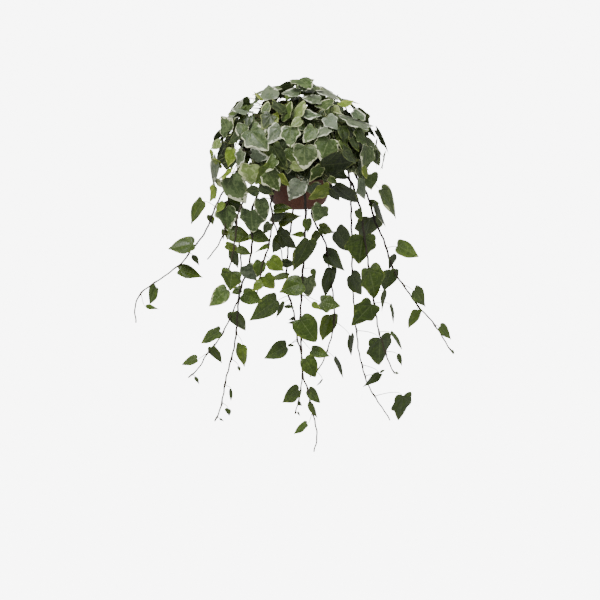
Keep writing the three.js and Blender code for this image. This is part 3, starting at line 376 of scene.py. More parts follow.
CROWN_LEAVES = (
    (300, 84, 317, 87, 12, GREY), (270, 99, 269, 83.5, 17.8, HEART, GREY),
    (265, 101, 253, 88.5, 6, SLIVER, YOUNG), (257, 102, 254.5, 93, 4, SLIVER),
    (299, 93, 281.5, 91, 11, GREY), (320, 100, 302, 98, 11, GREY), (321, 108, 334, 98, 14, EDGED),
    (333, 107, 341, 114, 8, HEART, PALE), (341, 106, 353, 100, 9, HEART, YOUNG),
    (359, 119, 357, 107, 14, GREY), (346, 121, 375, 125.5, 15, GREY),
    (248, 113, 232, 108.5, 8, GREY), (265, 112, 268, 101, 9, HEART), (297, 117, 301, 99, 13, PALE),
    (287, 119, 289, 100, 10, HEART), (301, 120, 290, 127, 9, HEART, PALE),
    (302, 113, 322, 116, 11, GREY), (327, 117, 337, 130, 15, SILVER),
    (334, 128, 323, 125, 8, HEART, EDGED), (328, 129, 313, 137, 10, SILVER),
    (314, 128, 303, 142, 14, SAGE), (290, 127, 292, 147.5, 20, EDGED),
    (280, 127, 268, 144, 17, GREY), (250, 130, 267, 151, 27, SAGE),
    (243, 124, 240, 139.5, 13.5, HEART, EDGED), (240, 133, 229, 143.5, 11, SHADED),
    (249, 116, 247, 127, 9, HEART, SHADED), (271, 115, 261, 129, 16, SHADED),
    (274, 122, 277, 111, 8, HEART, YOUNG), (284, 113, 272, 99, 14, SHADED),
    (220.5, 142, 210, 148.5, 9, HEART, PALE), (232, 149, 228, 167, 12, HEART, YOUNG),
    (243, 152, 236, 168, 12, GREY), (252, 153, 268, 160, 11, SILVER),
    (273, 146, 285, 171, 17, SHADED), (276, 159, 263, 171, 13, EDGED),
    (250, 165, 249, 186, 22, PALE), (268, 171.5, 278, 192, 21, EDGED),
    (258, 190.5, 244.5, 191, 11, HEART, SHADED), (260, 186, 274, 194.5, 10.5, HEART, SHADED),
    (230, 177, 244.5, 204.5, 25, HEART, SAGE), (231, 172, 218, 179, 8, YOUNG),
    (217, 161, 209.5, 185, 13, GREY), (221, 164, 210, 160, 7, HEART, YOUNG),
    (216, 187, 209.5, 202, 11, YOUNG), (222, 184, 213, 179, 7, HEART, CREAM),
    (305, 146, 303, 170, 24, SAGE), (289, 148, 297, 165, 13, HEART),
    (292, 164, 304, 171, 9, HEART, PALE), (329, 139, 321, 161.5, 25, EDGED),
    (321, 165, 360, 163, 20, HEART, SHADED), (341, 150, 335, 163, 11, HEART, CREAM),
    (343, 151, 358, 163, 12, SHADED), (341, 140, 352, 159, 9, HEART),
    (342, 127, 348, 147, 11, HEART, SHADED), (352, 138, 359, 152, 10, SHADED),
    (357, 130, 367, 146, 12), (366, 141, 380, 147.5, 10, HEART), (367, 147, 364, 172, 14, SAGE),
    (364, 166, 367, 179, 7, HEART, YOUNG), (371, 174, 372, 190.5, 15, HEART),
    (361, 178, 364, 200, 13, GREY), (381, 189, 398.5, 218, 16, HEART),
    (334, 185, 357, 203, 13, HEART, SHADED), (330, 190, 339.5, 202, 8, HEART, SHADED),
    (329, 188, 308, 199, 13, YOUNG), (321, 167, 309, 182, 11), (329, 178, 338, 184, 7, HEART),
    (300.8, 181, 289.3, 202, 19, HEART, SILVER), (280, 174, 289, 188, 7, HEART, YOUNG),
    (333, 168, 348, 178, 12, HEART, SHADED),
)

HIDDEN_ROWS = (
    HiddenRow(152, 4, 45, 360, 0.9), HiddenRow(132, 6, 180, 230, 0.88),
    HiddenRow(110, 7, 180, 200, 0.9), HiddenRow(86, 8, 180, 200, 0.88),
    HiddenRow(62, 8, 180, 190, 0.95), HiddenRow(38, 8, 180, 190, 0.9),
    HiddenRow(12, 8, 180, 190, 0.97), HiddenRow(96, 4, 0, 150, 0.76),
    HiddenRow(46, 5, 0, 170, 0.72),
)


@dataclass
class TracedView:
    """The view that the places were traced in: from slightly above, square to the front."""

    mm_per_step: float = 1.75
    distance: float = 3000.0
    tilt: float = math.radians(20)
    centre: float = 300.0
    axis_at_x: float = 298.5
    rim_at_y: float = 165.0
    steps_across: float = 600.0
    sensor: float = 36.0

    def __post_init__(self) -> None:
        """Works out the ways of the view, the point at its middle and where the eye stands."""
        rise, run = math.sin(self.tilt), math.cos(self.tilt)
        self.right = np.array([1.0, 0.0, 0.0])
        self.away = np.array([0.0, run, -rise])
        self.upright = np.array([0.0, rise, run])
        self.aim = (self.right * (self.centre - self.axis_at_x) * self.mm_per_step
                    + self.upright * (self.rim_at_y - self.centre) * self.mm_per_step)
        self.eye = self.aim - self.away * self.distance

    def way_to(self, x: float, y: float) -> Point:
        """Returns the way from the eye to a traced place."""
        return (self.right * (x - self.centre) * self.mm_per_step
                + self.upright * (self.centre - y) * self.mm_per_step + self.away * self.distance)

    def seen_at(self, x: float, y: float, depth: float) -> Point:
        """Returns the point at a given Y, in millimetres, that is seen at a traced place."""
        way = self.way_to(x, y)
        return self.eye + way * (depth - self.eye[1]) / way[1]

    def in_view(self, points: Point) -> Point:
        """Works out where points are seen.

        Args:
            points: The points, as rows.

        Returns:
            Rows of the places across and down the view.
        """
        offset = points - self.aim
        shrink = self.distance / (self.distance + offset @ self.away) / self.mm_per_step
        return np.stack([self.centre + offset @ self.right * shrink,
                         self.centre - offset @ self.upright * shrink], axis=-1)

    def camera(self) -> bpy.types.Object:
        """Makes the camera that sees what the eye sees.

        Returns:
            The scene's camera.
        """
        lens = bpy.data.cameras.new("traced_view")
        lens.sensor_width = self.sensor
        lens.lens = self.sensor * self.distance / (self.steps_across * self.mm_per_step)
        lens.clip_end = 100
        camera = bpy.data.objects.new("traced_view", lens)
        camera.location = self.eye * METRES
        camera.rotation_euler = (math.pi / 2 - self.tilt, 0, 0)
        bpy.context.collection.objects.link(camera)
        bpy.context.scene.camera = camera
        return camera


VIEW = TracedView()


@dataclass(frozen=True)
class Dome:
    """The ellipsoid that the crown's leaves lie around."""

    centre: tuple[float, float, float] = (0.0, 0.0, 8.0)
    radii: tuple[float, float, float] = (155.0, 138.0, 148.0)
    lean_limit: float = 0.7

    def meets(self, x: float, y: float) -> Point:
        """Looks along the line of sight to the dome.

        Args:
            x: How far across the place is seen.
            y: How far down it is seen.

        Returns:
            The near point of the dome there, or the nearest it comes to the line.
        """
        way = VIEW.way_to(x, y)
        start, run = (VIEW.eye - self.centre) / self.radii, way / np.array(self.radii)
        a, b = run @ run, start @ run
        inside = max(b * b - a * (start @ start - 1), 0.0)
        return VIEW.eye + way * (-b - math.sqrt(inside)) / a

    def tip(self, base: Point, x: float, y: float) -> Point:
        """Works out where a leaf's tip is.

        Args:
            base: The foot of the leaf.
            x: How far across the tip is seen.
            y: How far down the tip is seen.

        Returns:
            The place on the dome, brought nearer in depth to the foot where it leans too much.
        """
        tip = self.meets(x, y)
        run = tip - base
        lean = float(run @ VIEW.away)
        most = self.lean_limit * math.sqrt(run @ run - lean * lean)
        share = 1 + (min(max(lean, -most), most) - lean) / float((tip - VIEW.eye) @ VIEW.away)
        return VIEW.eye + (tip - VIEW.eye) * share

    def normal(self, point: Point) -> Point:
        """Returns the way straight out of the dome at a point."""
        return unit((point - self.centre) / self.radii / self.radii)

    def spot(self, degrees: float, height: float, scale: float) -> Point:
        """Works out a point on the dome.

        Args:
            degrees: Its compass angle.
            height: Its height on the full dome.
            scale: The scale of the dome.

        Returns:
            The point.
        """
        rise = height - self.centre[2]
        reach = math.sqrt(1 - (rise / self.radii[2]) ** 2)
        point = around(degrees, reach, 0) * self.radii + np.array([0, 0, rise])
        return point * scale + self.centre


DOME = Dome()


@dataclass
class SmoothPath:
    """A centripetal Catmull-Rom curve through points, read by its length."""

    points: Sequence[Point]
    divisions: int = 200

    def __post_init__(self) -> None:
        """Measures the curve."""
        first, last = (self.points[i] * 2 - self.points[j] for i, j in ((0, 1), (-1, -2)))
        self.knots = np.array([first, *self.points, last])
        shares = np.linspace(0, 1, self.divisions + 1)
        steps = np.linalg.norm(np.diff(self.at(shares), axis=0), axis=1)
        self.shares, self.lengths = shares, np.concatenate([[0], np.cumsum(steps)])

    @property
    def length(self) -> float:
        """The length of the curve."""
        return float(self.lengths[-1])

    def at(self, shares: Point) -> Point:
        """Reads the curve.

        Args:
            shares: Shares of the curve, counted from point to point.

        Returns:
            The points there.
        """
        spans = len(self.knots) - 3
        first = np.minimum((shares * spans).astype(int), spans - 1)
        weight = (shares * spans - first)[:, None]
        p0, p1, p2, p3 = (self.knots[first + k] for k in range(4))
        d0, d1, d2 = (np.sqrt(np.linalg.norm(b - a, axis=1))[:, None]
                      for a, b in ((p0, p1), (p1, p2), (p2, p3)))
        t1 = ((p1 - p0) / d0 - (p2 - p0) / (d0 + d1) + (p2 - p1) / d1) * d1
        t2 = ((p2 - p1) / d1 - (p3 - p1) / (d1 + d2) + (p3 - p2) / d2) * d1
        square, cube = weight**2, weight**3
        return (p1 + t1 * weight + (-3 * p1 + 3 * p2 - 2 * t1 - t2) * square
                + (2 * p1 - 2 * p2 + t1 + t2) * cube)

    def spaced(self, steps: int) -> Point:
        """Returns points an equal length apart, from end to end."""
        targets = np.linspace(0, self.length, steps + 1)
        return self.at(np.interp(targets, self.lengths, self.shares))


@dataclass
class Block:
    """A convex block that stands for a piece of a plant where plants are kept apart."""

    corners: Point
    normals: Point
    edges: Point
    owner: str

    @cached_property
    def low(self) -> Point:
        """The lowest corner of its box."""
        return self.corners.min(0)

    @cached_property
    def high(self) -> Point:
        """The highest corner of its box."""
        return self.corners.max(0)


@dataclass
class Room:
    """The blocks that all plants have placed so far."""

    keep_apart: float = 0.35
    nearly_parallel: float = 1e-4
    most: int = 4000
    blocks: list[Block] = field(default_factory=list)

    def __post_init__(self) -> None:
        """Makes room for the low and the high corner of every block."""
        self.lows, self.highs = np.zeros((2, self.most, 3))

    def add(self, *blocks: Block) -> None:
        """Places blocks.

        Args:
            blocks: Blocks that were found clear.
        """
        for block in blocks:
            self.lows[len(self.blocks)] = block.low
            self.highs[len(self.blocks)] = block.high
            self.blocks.append(block)

    def is_clear(self, block: Block) -> bool:
        """Looks for room.

        Args:
            block: The block to place.

        Returns:
            Whether it keeps apart from the blocks of every other owner.
        """
        count = len(self.blocks)
        near = ((self.lows[:count] <= block.high + self.keep_apart).all(1)
                & (self.highs[:count] >= block.low - self.keep_apart).all(1))
        return all(self.blocks[i].owner == block.owner or self.apart(block, self.blocks[i])
                   for i in np.flatnonzero(near))

    def apart(self, a: Block, b: Block) -> bool:
        """Tells two blocks apart.

        Args:
            a: One block.
            b: The other.

        Returns:
            Whether some axis parts them.
        """
        if self.parted_along(a, b, np.vstack([a.normals, b.normals])):
            return True
        crosses = np.cross(a.edges[:, None], b.edges[None]).reshape(-1, 3)
        squares = (crosses**2).sum(1)
        crosses, squares = (v[squares > self.nearly_parallel] for v in (crosses, squares))
        return len(crosses) > 0 and self.parted_along(a, b, crosses / np.sqrt(squares)[:, None])

    def parted_along(self, a: Block, b: Block, axes: Point) -> bool:
        """Tries axes.

        Args:
            a: One block.
            b: The other.
            axes: Rows of unit length.

        Returns:
            Whether one of them parts the blocks.
        """
        on_a, on_b = a.corners @ axes.T, b.corners @ axes.T
        gaps = np.maximum(on_b.min(0) - on_a.max(0), on_a.min(0) - on_b.max(0))
        return bool((gaps > self.keep_apart).any())


def rod_block(start: Point, end: Point, radius: float, owner: str) -> Block:
    """Makes the block of a straight stretch of stem or stalk.

    Args:
        start: One end of its middle line.
        end: The other end.
        radius: How far it reaches from that line.
        owner: The plant it belongs to.

    Returns:
        A square rod.
    """
    along = unit(end - start)
    side = np.array([along[1], -along[0], 0.0])
    side = unit(side) if side @ side >= 1e-6 else np.array([1.0, 0.0, 0.0])
    other = unit(np.cross(along, side))
    corners = [end_point + side * i * radius + other * j * radius for end_point in (start, end)
               for i, j in ((1, 1), (1, -1), (-1, -1), (-1, 1))]
    axes = np.array([along, side, other])
    return Block(np.array(corners), axes, axes, owner)


@dataclass(frozen=True)
class LeafShape:
    """The outline of one form of leaf, as half outlines from its foot to its tip.

    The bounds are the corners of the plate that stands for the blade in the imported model. The
    outline holds the real blade's places and, third, how many veins away from the midrib each
    lies: whole numbers are the tips of lobes.
    """

    bounds: tuple[tuple[float, float], ...]
    usual_width: float
    variants: int
    outline: tuple[tuple[float, float, float], ...]


LEAF_SHAPES = {
    SLIVER: LeafShape(
        ((0.2, -0.01), (0.5, 0.35)), 0.6, 4,
        ((0.16, -0.02, 1.8), (0.36, 0.05, 1.5), (0.49, 0.2, 1.1), (0.5, 0.35, 0.9),
         (0.42, 0.52, 0.6), (0.28, 0.7, 0.35), (0.12, 0.88, 0.12)),
    ),
    HEART: LeafShape(
        ((0.36, -0.04), (0.5, 0.38)), 0.75, 8,
        ((0.13, -0.05, 2.4), (0.27, -0.06, 2.15), (0.375, -0.02, 1.9), (0.44, 0.06, 1.65),
         (0.48, 0.15, 1.35), (0.498, 0.25, 1.1), (0.5, 0.35, 0.9), (0.475, 0.45, 0.72),
         (0.425, 0.55, 0.56), (0.355, 0.65, 0.42), (0.27, 0.75, 0.3), (0.18, 0.84, 0.2),
         (0.1, 0.92, 0.1), (0.04, 0.975, 0.04)),
    ),
    LOBED: LeafShape(
        ((0.36, -0.05), (0.5, 0.44)), 0.95, 10,
        ((0.12, -0.055, 2.45), (0.24, -0.085, 2.2), (0.36, -0.065, 2.0), (0.43, 0.01, 1.8),
         (0.455, 0.09, 1.65), (0.45, 0.17, 1.5), (0.475, 0.25, 1.28), (0.495, 0.33, 1.1),
         (0.5, 0.4, 1.0), (0.475, 0.46, 0.9), (0.42, 0.52, 0.75), (0.365, 0.58, 0.6),
         (0.325, 0.65, 0.47), (0.275, 0.73, 0.34), (0.205, 0.82, 0.22), (0.125, 0.9, 0.12),
         (0.05, 0.965, 0.04)),
    ),
}


@dataclass
class Blade:
    """One leaf blade in its place, in millimetres."""

    base: Point
    along: Point
    side: Point
    normal: Point
    length: float
    width: float
    form: LeafForm
    tone: Tone

    THICKNESS = 1.0
    STALK_BITE = 0.06
    WIDEST = 1.15
    NARROWEST = 0.8
    TURN_LIMIT = 0.85
    TURN_SOFTENING = 0.6

    @classmethod
    def seen(cls, leaf: "SeenLeaf", shift: Point) -> "Blade":
        """Works out how a blade lies from how it is seen.

        Args:
            leaf: The leaf's foot, tip, width and facing.
            shift: How far the leaf is moved along the line of sight.

        Returns:
            The blade, turned part of the way from the eye to where it would face by itself.
        """
        base, along = leaf.base + shift, leaf.tip - leaf.base
        seen_length = np.linalg.norm(along)
        if leaf.width > cls.WIDEST * seen_length:
            true_length = leaf.width / cls.WIDEST
            along = along + leaf.facing * math.sqrt(true_length**2 - seen_length**2)
        length = float(np.linalg.norm(along))
        along = along / length
        across = unit(np.cross(along, leaf.facing))
        ahead = unit(np.cross(across, along))
        usual = LEAF_SHAPES[leaf.form].usual_width * length
        turn = cls.TURN_SOFTENING * math.atan2(leaf.outward @ across, leaf.outward @ ahead)
        turn = min(max(turn, -cls.TURN_LIMIT), cls.TURN_LIMIT)
        if leaf.width / math.cos(turn) < cls.NARROWEST * usual:
            turn = math.copysign(math.acos(leaf.width / usual), turn)
        normal = ahead * math.cos(turn) + across * math.sin(turn)
        side = np.cross(along, normal)
        return cls(base, along, side, normal, length, leaf.width / math.cos(turn), leaf.form,
                   leaf.tone)

    def place(self, across: float, up: float) -> Point:
        """Returns the point at shares of the blade's width and length."""
        return self.base + self.side * across * self.width + self.along * up * self.length

    def block(self, owner: str) -> Block:
        """Makes the block that bounds the blade's plate.

        Args:
            owner: The plant it belongs to.

        Returns:
            The block.
        """
        bounds = LEAF_SHAPES[self.form].bounds
        rim = [self.place(*spot) for spot in bounds] + [self.place(0, 1)]
        rim += [self.place(-across, up) for across, up in reversed(bounds)]
        lift = self.normal * self.THICKNESS / 2
        corners = np.array([point + way for point in rim for way in (lift, -lift)])
        edges = np.array([unit(b - a) for a, b in zip(rim, rim[1:] + rim[:1])])
        normals = np.array([unit(np.cross(edge, self.normal)) for edge in edges])
        return Block(corners, np.vstack([self.normal, normals]),
                     np.vstack([self.normal, edges]), owner)


@dataclass
class SeenLeaf:
    """A leaf before it is given room: its place, what it faces and where it would turn to."""

    base: Point
    tip: Point
    width: float
    form: LeafForm
    tone: Tone
    facing: Point
    outward: Point
    is_filler: bool = False


@dataclass
class Plant:
    """One grown piece: a stem rooted in the soil, with its leaves, in millimetres.

    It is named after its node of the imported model. The foot is the bottom of its root, and the
    points are where its stem passes from the collar at the soil to its tip.
    """

    name: str
    foot: Point
    points: Sequence[Point]
    radius: float
    tip_radius: float
    stem_step: float = 32.0
    stalk_radius: float = 0.65
    foot_shares: tuple[float, ...] = (0.1, 0.4, 0.7, 1.0)
    feet_tried: int = 12
    nudges: tuple[float, ...] = (0, 3, -3, 6, -6, 9, -9, 12, -12, 15, -15, 19, -19, 23, -23, 28,
                                 -28, 34, 40, 48, 56, -34)
    leaves: list[tuple[Blade, Point]] = field(default_factory=list)

    def __post_init__(self) -> None:
        """Lays the stem."""
        path = SmoothPath(self.points)
        steps = math.floor(path.length / self.stem_step + 0.5) + 1
        self.joints = np.vstack([self.foot, path.spaced(steps)])

    def stem_blocks(self) -> list[Block]:
        """Returns the blocks of the stem."""
        return [rod_block(a, b, self.radius, self.name)
                for a, b in zip(self.joints, self.joints[1:])]

    def feet(self, gap_to: Callable[[Point], Point]) -> Point:
        """Returns points of the stem above its collar.

        Args:
            gap_to: Measures how far points are from where a leaf should grow.

        Returns:
            Those with the least gap, nearest first.
        """
        joints = self.joints[2:]
        points = np.array([a + (b - a) * share for a, b in zip(joints, joints[1:])
                           for share in self.foot_shares])
        return points[np.argsort(gap_to(points), kind="stable")[: self.feet_tried]]

    def settle(self, leaf: SeenLeaf, feet_for: Callable[[Point], Point], start: float,
               room: Room) -> bool:
        """Gives the plant a leaf at the first shift and foot that keep clear of other plants.

        Args:
            leaf: The leaf to place.
            feet_for: Gives the feet to try for the foot of a blade.
            start: The first shift along the line of sight.
            room: What all plants have placed.

        Returns:
            Whether there was room for it.
        """
        for nudge in self.nudges:
            blade = Blade.seen(leaf, leaf.facing * (start - nudge))
            plate = blade.block(self.name)
            if not room.is_clear(plate):
                continue
            end = blade.place(0, Blade.STALK_BITE)
            for foot in feet_for(blade.base):
                stalk = rod_block(foot, end, self.stalk_radius, self.name)
                if room.is_clear(stalk):
                    self.leaves.append((blade, foot))
                    room.add(plate, stalk)
                    return True
        return False


@dataclass
class Ivy:
    """All the plants in the pot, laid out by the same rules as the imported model."""

    soil_top: float = 2.0
    soil_crowning: float = 3.0
    seat_gap: float = 0.3
    root_depth: float = 14.0
    collar_rise: float = 3.0
    cone_top: Range = (76.0, 6.0)
    cone_bottom: Range = (52.0, -70.0)
    cone_sides: int = 16
    vine_circle: float = 42.0
    vine_tip_radius: float = 0.8
    shoot_radius: float = 1.3
    shoot_tip_radius: float = 0.9
    over_rim: Range = (83.0, 17.0)
    shoulder_least: float = 89.0
    shoulder_reach: float = 0.82
    shoulder_fall: float = 0.4
    shoulder_rise: float = 2.0
    shoulder_lowest: float = -30.0
    vine_leaf_rise: float = 0.6
    stand_offs: tuple[float, ...] = (7.0, -2.8)
    upper_from: float = 78.0
    upper_bend: Bend = ((0, 17, 0, 32), (0.5, 6, 0.6, 8), (0.72, 0, 0.84, 0))
    lower_bend: Bend = ((0, 44, 0, 40), (0.6, 0, 0, 56), (0.8, 0, 0.5, 16))
    upper_shoots: int = 6
    upper_circle: float = 13.0
    lower_shoots: int = 10
    lower_circle: float = 28.0
    hidden_length: float = 50.0
    hidden_width: float = 46.0
    hidden_swing: float = 0.6
    hidden_lift: float = 9.0
    hidden_turn: float = 0.5
    hidden_phases: tuple[Range, ...] = ((2.4, 1.3), (1.9, 2.1), (3.1, 0.7))
    hidden_sizes: tuple[float, ...] = (1, 0.76, 0.9, 0.68, 0.96)
    inner_seed: int = 3
    inner_spread: tuple[float, float, float] = (1, 1, 0.8)
    inner_rise: tuple[float, float, float] = (0, 0, 0.35)
    inner_tumble: float = 0.3
    inner_swing: float = 0.8
    inner_widths: Range = (0.8, 1.0)
    inner_tries: int = 420
    inner_scale: Range = (0.5, 0.9)
    inner_lowest: float = 14.0
    inner_lengths: Range = (28.0, 42.0)
    # The SHADED tones here paint shade into the colour of inner and hidden leaves.
    inner_tones: tuple[Tone, ...] = (SHADED, SHADED, GREEN, SAGE, TRAILING)
    hidden_tones: tuple[Tone, ...] = (SAGE, GREEN, GREY, EDGED, SHADED, GREEN, SILVER, YOUNG,
                                      SAGE, EDGED, PALE)

    def __post_init__(self) -> None:
        """Lays out every stem and gives every leaf its room."""
        self.room = Room()
        self.room.add(self.pot_block())
        self.vines = [self.vine(spec) for spec in VINES]
        self.crown = self.crown_shoots()
        for plant in self.plants:
            self.room.add(*plant.stem_blocks())
        self.stuck = 0
        for spec, plant in zip(VINES, self.vines):
            self.dress_vine(spec, plant)
        for fillers in (False, True):
            for plant, leaves in self.crown:
                self.dress_shoot(plant, [leaf for leaf in leaves if leaf.is_filler == fillers])

    @property
    def plants(self) -> list[Plant]:
        """Every plant, vines first."""
        return [*self.vines, *(plant for plant, _ in self.crown)]

    def pot_block(self) -> Block:
        """Makes the cone that keeps leaves clear of the pot.

        Returns:
            Its block.
        """
        top, bottom, sides = self.cone_top, self.cone_bottom, self.cone_sides
        turns = [360 * i / sides for i in range(sides)]
        corners = [around(turn, *ring) for ring in (top, bottom) for turn in turns]
        middles = [turn + 180 / sides for turn in turns]
        slope = math.atan2(top[0] - bottom[0], top[1] - bottom[1])
        normals = [around(turn, math.cos(slope), -math.sin(slope)) for turn in middles]
        edges = [around(turn + 90, 1, 0) for turn in middles]
        return Block(np.array(corners), np.array([[0, 0, 1], *normals]), np.array(edges), "pot")

    def rooted(self, name: str, root: float, circle: float, points: Iterable[Point],
               radius: float, tip_radius: float) -> Plant:
        """Makes a plant that is rooted straight down in the soil.

        Args:
            name: Its node.
            root: The compass angle of its hole.
            circle: The radius of the circle that its hole is on.
            points: Where its stem goes from the collar.
            radius: The stem's radius at the foot.
            tip_radius: The stem's radius at the tip.

        Returns:
            The plant with a bare stem.
        """
        foot = around(root, circle, self.soil_top - self.root_depth + self.seat_gap)
        collar = around(root, circle, self.soil_top + self.soil_crowning + self.collar_rise)
        return Plant(name, foot, [collar, *points], radius, tip_radius)

    def vine(self, spec: VineSpec) -> Plant:
        """Lays the stem of a vine: over the rim, down a shoulder and along its traced route.

        Args:
            spec: The vine.

        Returns:
            The plant, still without leaves.
        """
        last = len(spec.route) - 1
        hanging = [VIEW.seen_at(x, y, lerp(*spec.depth, i / last))
                   for i, (x, y) in enumerate(spec.route)]
        start = hanging[0]
        heading, reach = compass(start), math.hypot(start[0], start[1])
        over = around((spec.root + heading) / 2, *self.over_rim)
        out = max(self.shoulder_least, self.shoulder_reach * reach)
        height = max(self.shoulder_fall * start[2] + self.shoulder_rise, self.shoulder_lowest)
        points = [over, around(heading, out, height), *hanging]
        return self.rooted(spec.name, spec.root, self.vine_circle, points, spec.radius,
                           self.vine_tip_radius)

    def dress_vine(self, spec: VineSpec, plant: Plant) -> None:
        """Gives a vine its traced leaves.

        Args:
            spec: The vine.
            plant: Its plant.
        """
        for i, row in enumerate(spec.leaves):
            leaf = LeafSpec.read(row, HEART, TRAILING)
            root = np.array(leaf.grown_from or (leaf.base_x, leaf.base_y))
            feet = plant.feet(lambda points: np.hypot(*(VIEW.in_view(points) - root).T))
            depth = feet[0][1]
            base = VIEW.seen_at(leaf.base_x, leaf.base_y, depth)
            outward = unit(np.array([base[0], base[1], 0]))
            outward[2] = self.vine_leaf_rise
            seen = SeenLeaf(base, VIEW.seen_at(leaf.tip_x, leaf.tip_y, depth),
                            leaf.wide * VIEW.mm_per_step, leaf.form, leaf.tone, -VIEW.away,
                            outward)
            stand_off = self.stand_offs[i % len(self.stand_offs)]
            self.stuck += not plant.settle(seen, lambda _: feet, stand_off, self.room)

    def dress_shoot(self, plant: Plant, leaves: list[SeenLeaf]) -> None:
        """Gives a shoot of the crown its leaves. A filler with no room is left out.

        Args:
            plant: The shoot.
            leaves: Its share of the crown's leaves.
        """
        for leaf in leaves:
            placed = plant.settle(
                leaf,
                lambda base: plant.feet(lambda points: np.linalg.norm(points - base, axis=1)),
                0, self.room,
            )
            self.stuck += not placed and not leaf.is_filler

    def hidden_leaf(self, row: HiddenRow, k: int, i: int) -> SeenLeaf:
        """Places a leaf of a hidden row.

        Args:
            row: The row.
            k: The row's number.
            i: The leaf's number in it.

        Returns:
            The leaf.
        """
        base = DOME.spot(row.middle + row.spread * ((i + 0.5) / row.count - 0.5), row.height,
                         row.scale)
        facing = DOME.normal(base)
        sideways = unit(np.cross([0, 0, 1], facing))
        downhill = np.cross(sideways, facing)
        size = self.hidden_sizes[(2 * i + k) % len(self.hidden_sizes)]
        length = size * self.hidden_length
        swing, lift, turn = (
            most * math.sin(by_leaf * i + by_row * k) for most, (by_leaf, by_row) in zip(
                (self.hidden_swing, self.hidden_lift, self.hidden_turn), self.hidden_phases))
        tip = (base + downhill * length * math.cos(swing) + sideways * length * math.sin(swing)
               + facing * lift)
        tone = self.hidden_tones[(3 * i + 5 * k) % len(self.hidden_tones)]
        outward = unit(facing + sideways * turn)
        return SeenLeaf(base, tip, size * self.hidden_width, LOBED, tone, outward, outward, True)

    def crown_leaves(self) -> list[SeenLeaf]:
        """Lists the crown's leaves.

        Returns:
            Those in view, then the hidden rows.
        """
        front = []
        for row in CROWN_LEAVES:
            leaf = LeafSpec.read(row, LOBED, GREEN)
            base = DOME.meets(leaf.base_x, leaf.base_y)
            front.append(SeenLeaf(base, DOME.tip(base, leaf.tip_x, leaf.tip_y),
                                  leaf.wide * VIEW.mm_per_step, leaf.form, leaf.tone,
                                  -VIEW.away, DOME.normal(base)))
        hidden = [self.hidden_leaf(row, k, i) for k, row in enumerate(HIDDEN_ROWS)
                  for i in range(row.count)]
        return front + hidden

    def crown_shoots(self) -> list[tuple[Plant, list[SeenLeaf]]]:
        """Lays the stems of the crown.

        Returns:
            Each shoot with its own share of the leaves, which it lies below.
        """
        shoots_made = []
        leaves = self.crown_leaves()
        bands = (("upper", self.upper_shoots, self.upper_circle, self.upper_bend),
                 ("lower", self.lower_shoots, self.lower_circle, self.lower_bend))
        for band, shoots, circle, bend in bands:
            members = sorted(
                (leaf for leaf in leaves
                 if (leaf.base[2] >= self.upper_from) == (band == "upper")),
                key=lambda leaf: compass(leaf.base),
            )
            marks = [math.floor(k * len(members) / shoots + 0.5) for k in range(shoots + 1)]
            for k in range(shoots):
                own = members[marks[k]:marks[k + 1]]
                middle = np.mean([leaf.base for leaf in own], axis=0)
                distance = math.hypot(middle[0], middle[1])
                points = [around(compass(middle), reach * distance + out, climb * middle[2] + up)
                          for reach, out, climb, up in bend]
                root = -180 + 360 * (k + 0.5) / shoots
                plant = self.rooted(f"crown_shoot_{band}_{k + 1}", root, circle, points,
                                    self.shoot_radius, self.shoot_tip_radius)
                shoots_made.append((plant, own))
        return shoots_made

    def thicken(self) -> int:
        """Fills the crown with smaller leaves below its outer ones, where there is room.

        Returns:
            How many leaves were placed.
        """
        rng = np.random.default_rng(self.inner_seed)
        shoots = [plant for plant, _ in self.crown]
        placed = 0
        for _ in range(self.inner_tries):
            facing = unit(rng.normal(size=3) * self.inner_spread + self.inner_rise)
            depth = rng.uniform(*self.inner_scale)
            base = DOME.centre + facing * DOME.radii * depth
            if base[2] < self.inner_lowest:
                continue
            facing = unit(facing + rng.normal(size=3) * self.inner_tumble)
            length = rng.uniform(*self.inner_lengths)
            down = unit(np.cross(unit(np.cross([0, 0, 1], facing)), facing))
            side = np.cross(facing, down)
            turn = rng.normal() * self.inner_swing
            tip = base + (down * math.cos(turn) + side * math.sin(turn)) * length
            tone = self.inner_tones[rng.integers(len(self.inner_tones))]
            width = length * rng.uniform(*self.inner_widths)
            leaf = SeenLeaf(base, tip, width, LOBED, tone, facing, facing, True)
            plant = min(shoots, key=lambda shoot: np.linalg.norm(
                shoot.joints[2:] - base, axis=1).min())
            placed += plant.settle(leaf, lambda spot: plant.feet(
                lambda points: np.linalg.norm(points - spot, axis=1)), 0, self.room)
        return placed


@dataclass(frozen=True)
class Signal:
    """A node's output, which takes part in sums with other outputs and plain numbers."""

    wiring: "Wiring"
    socket: bpy.types.NodeSocket

    def __add__(self, other: object) -> "Signal":
        """Returns the sum."""
        return self.wiring.maths("ADD", self, other)

    def __sub__(self, other: object) -> "Signal":
        """Returns the difference."""
        return self.wiring.maths("SUBTRACT", self, other)

    def __rsub__(self, other: float) -> "Signal":
        """Returns what is left of a plain number."""
        return self.wiring.maths("SUBTRACT", other, self)

    def __mul__(self, other: object) -> "Signal":
        """Returns the product."""
        return self.wiring.maths("MULTIPLY", self, other)

    def parts(self) -> list["Signal"]:
        """Returns the three parts of a vector."""
        split = self.wiring.node("ShaderNodeSeparateXYZ", {0: self})
        return [Signal(self.wiring, output) for output in split.outputs]


Layers = tuple[Signal, Signal, Signal]


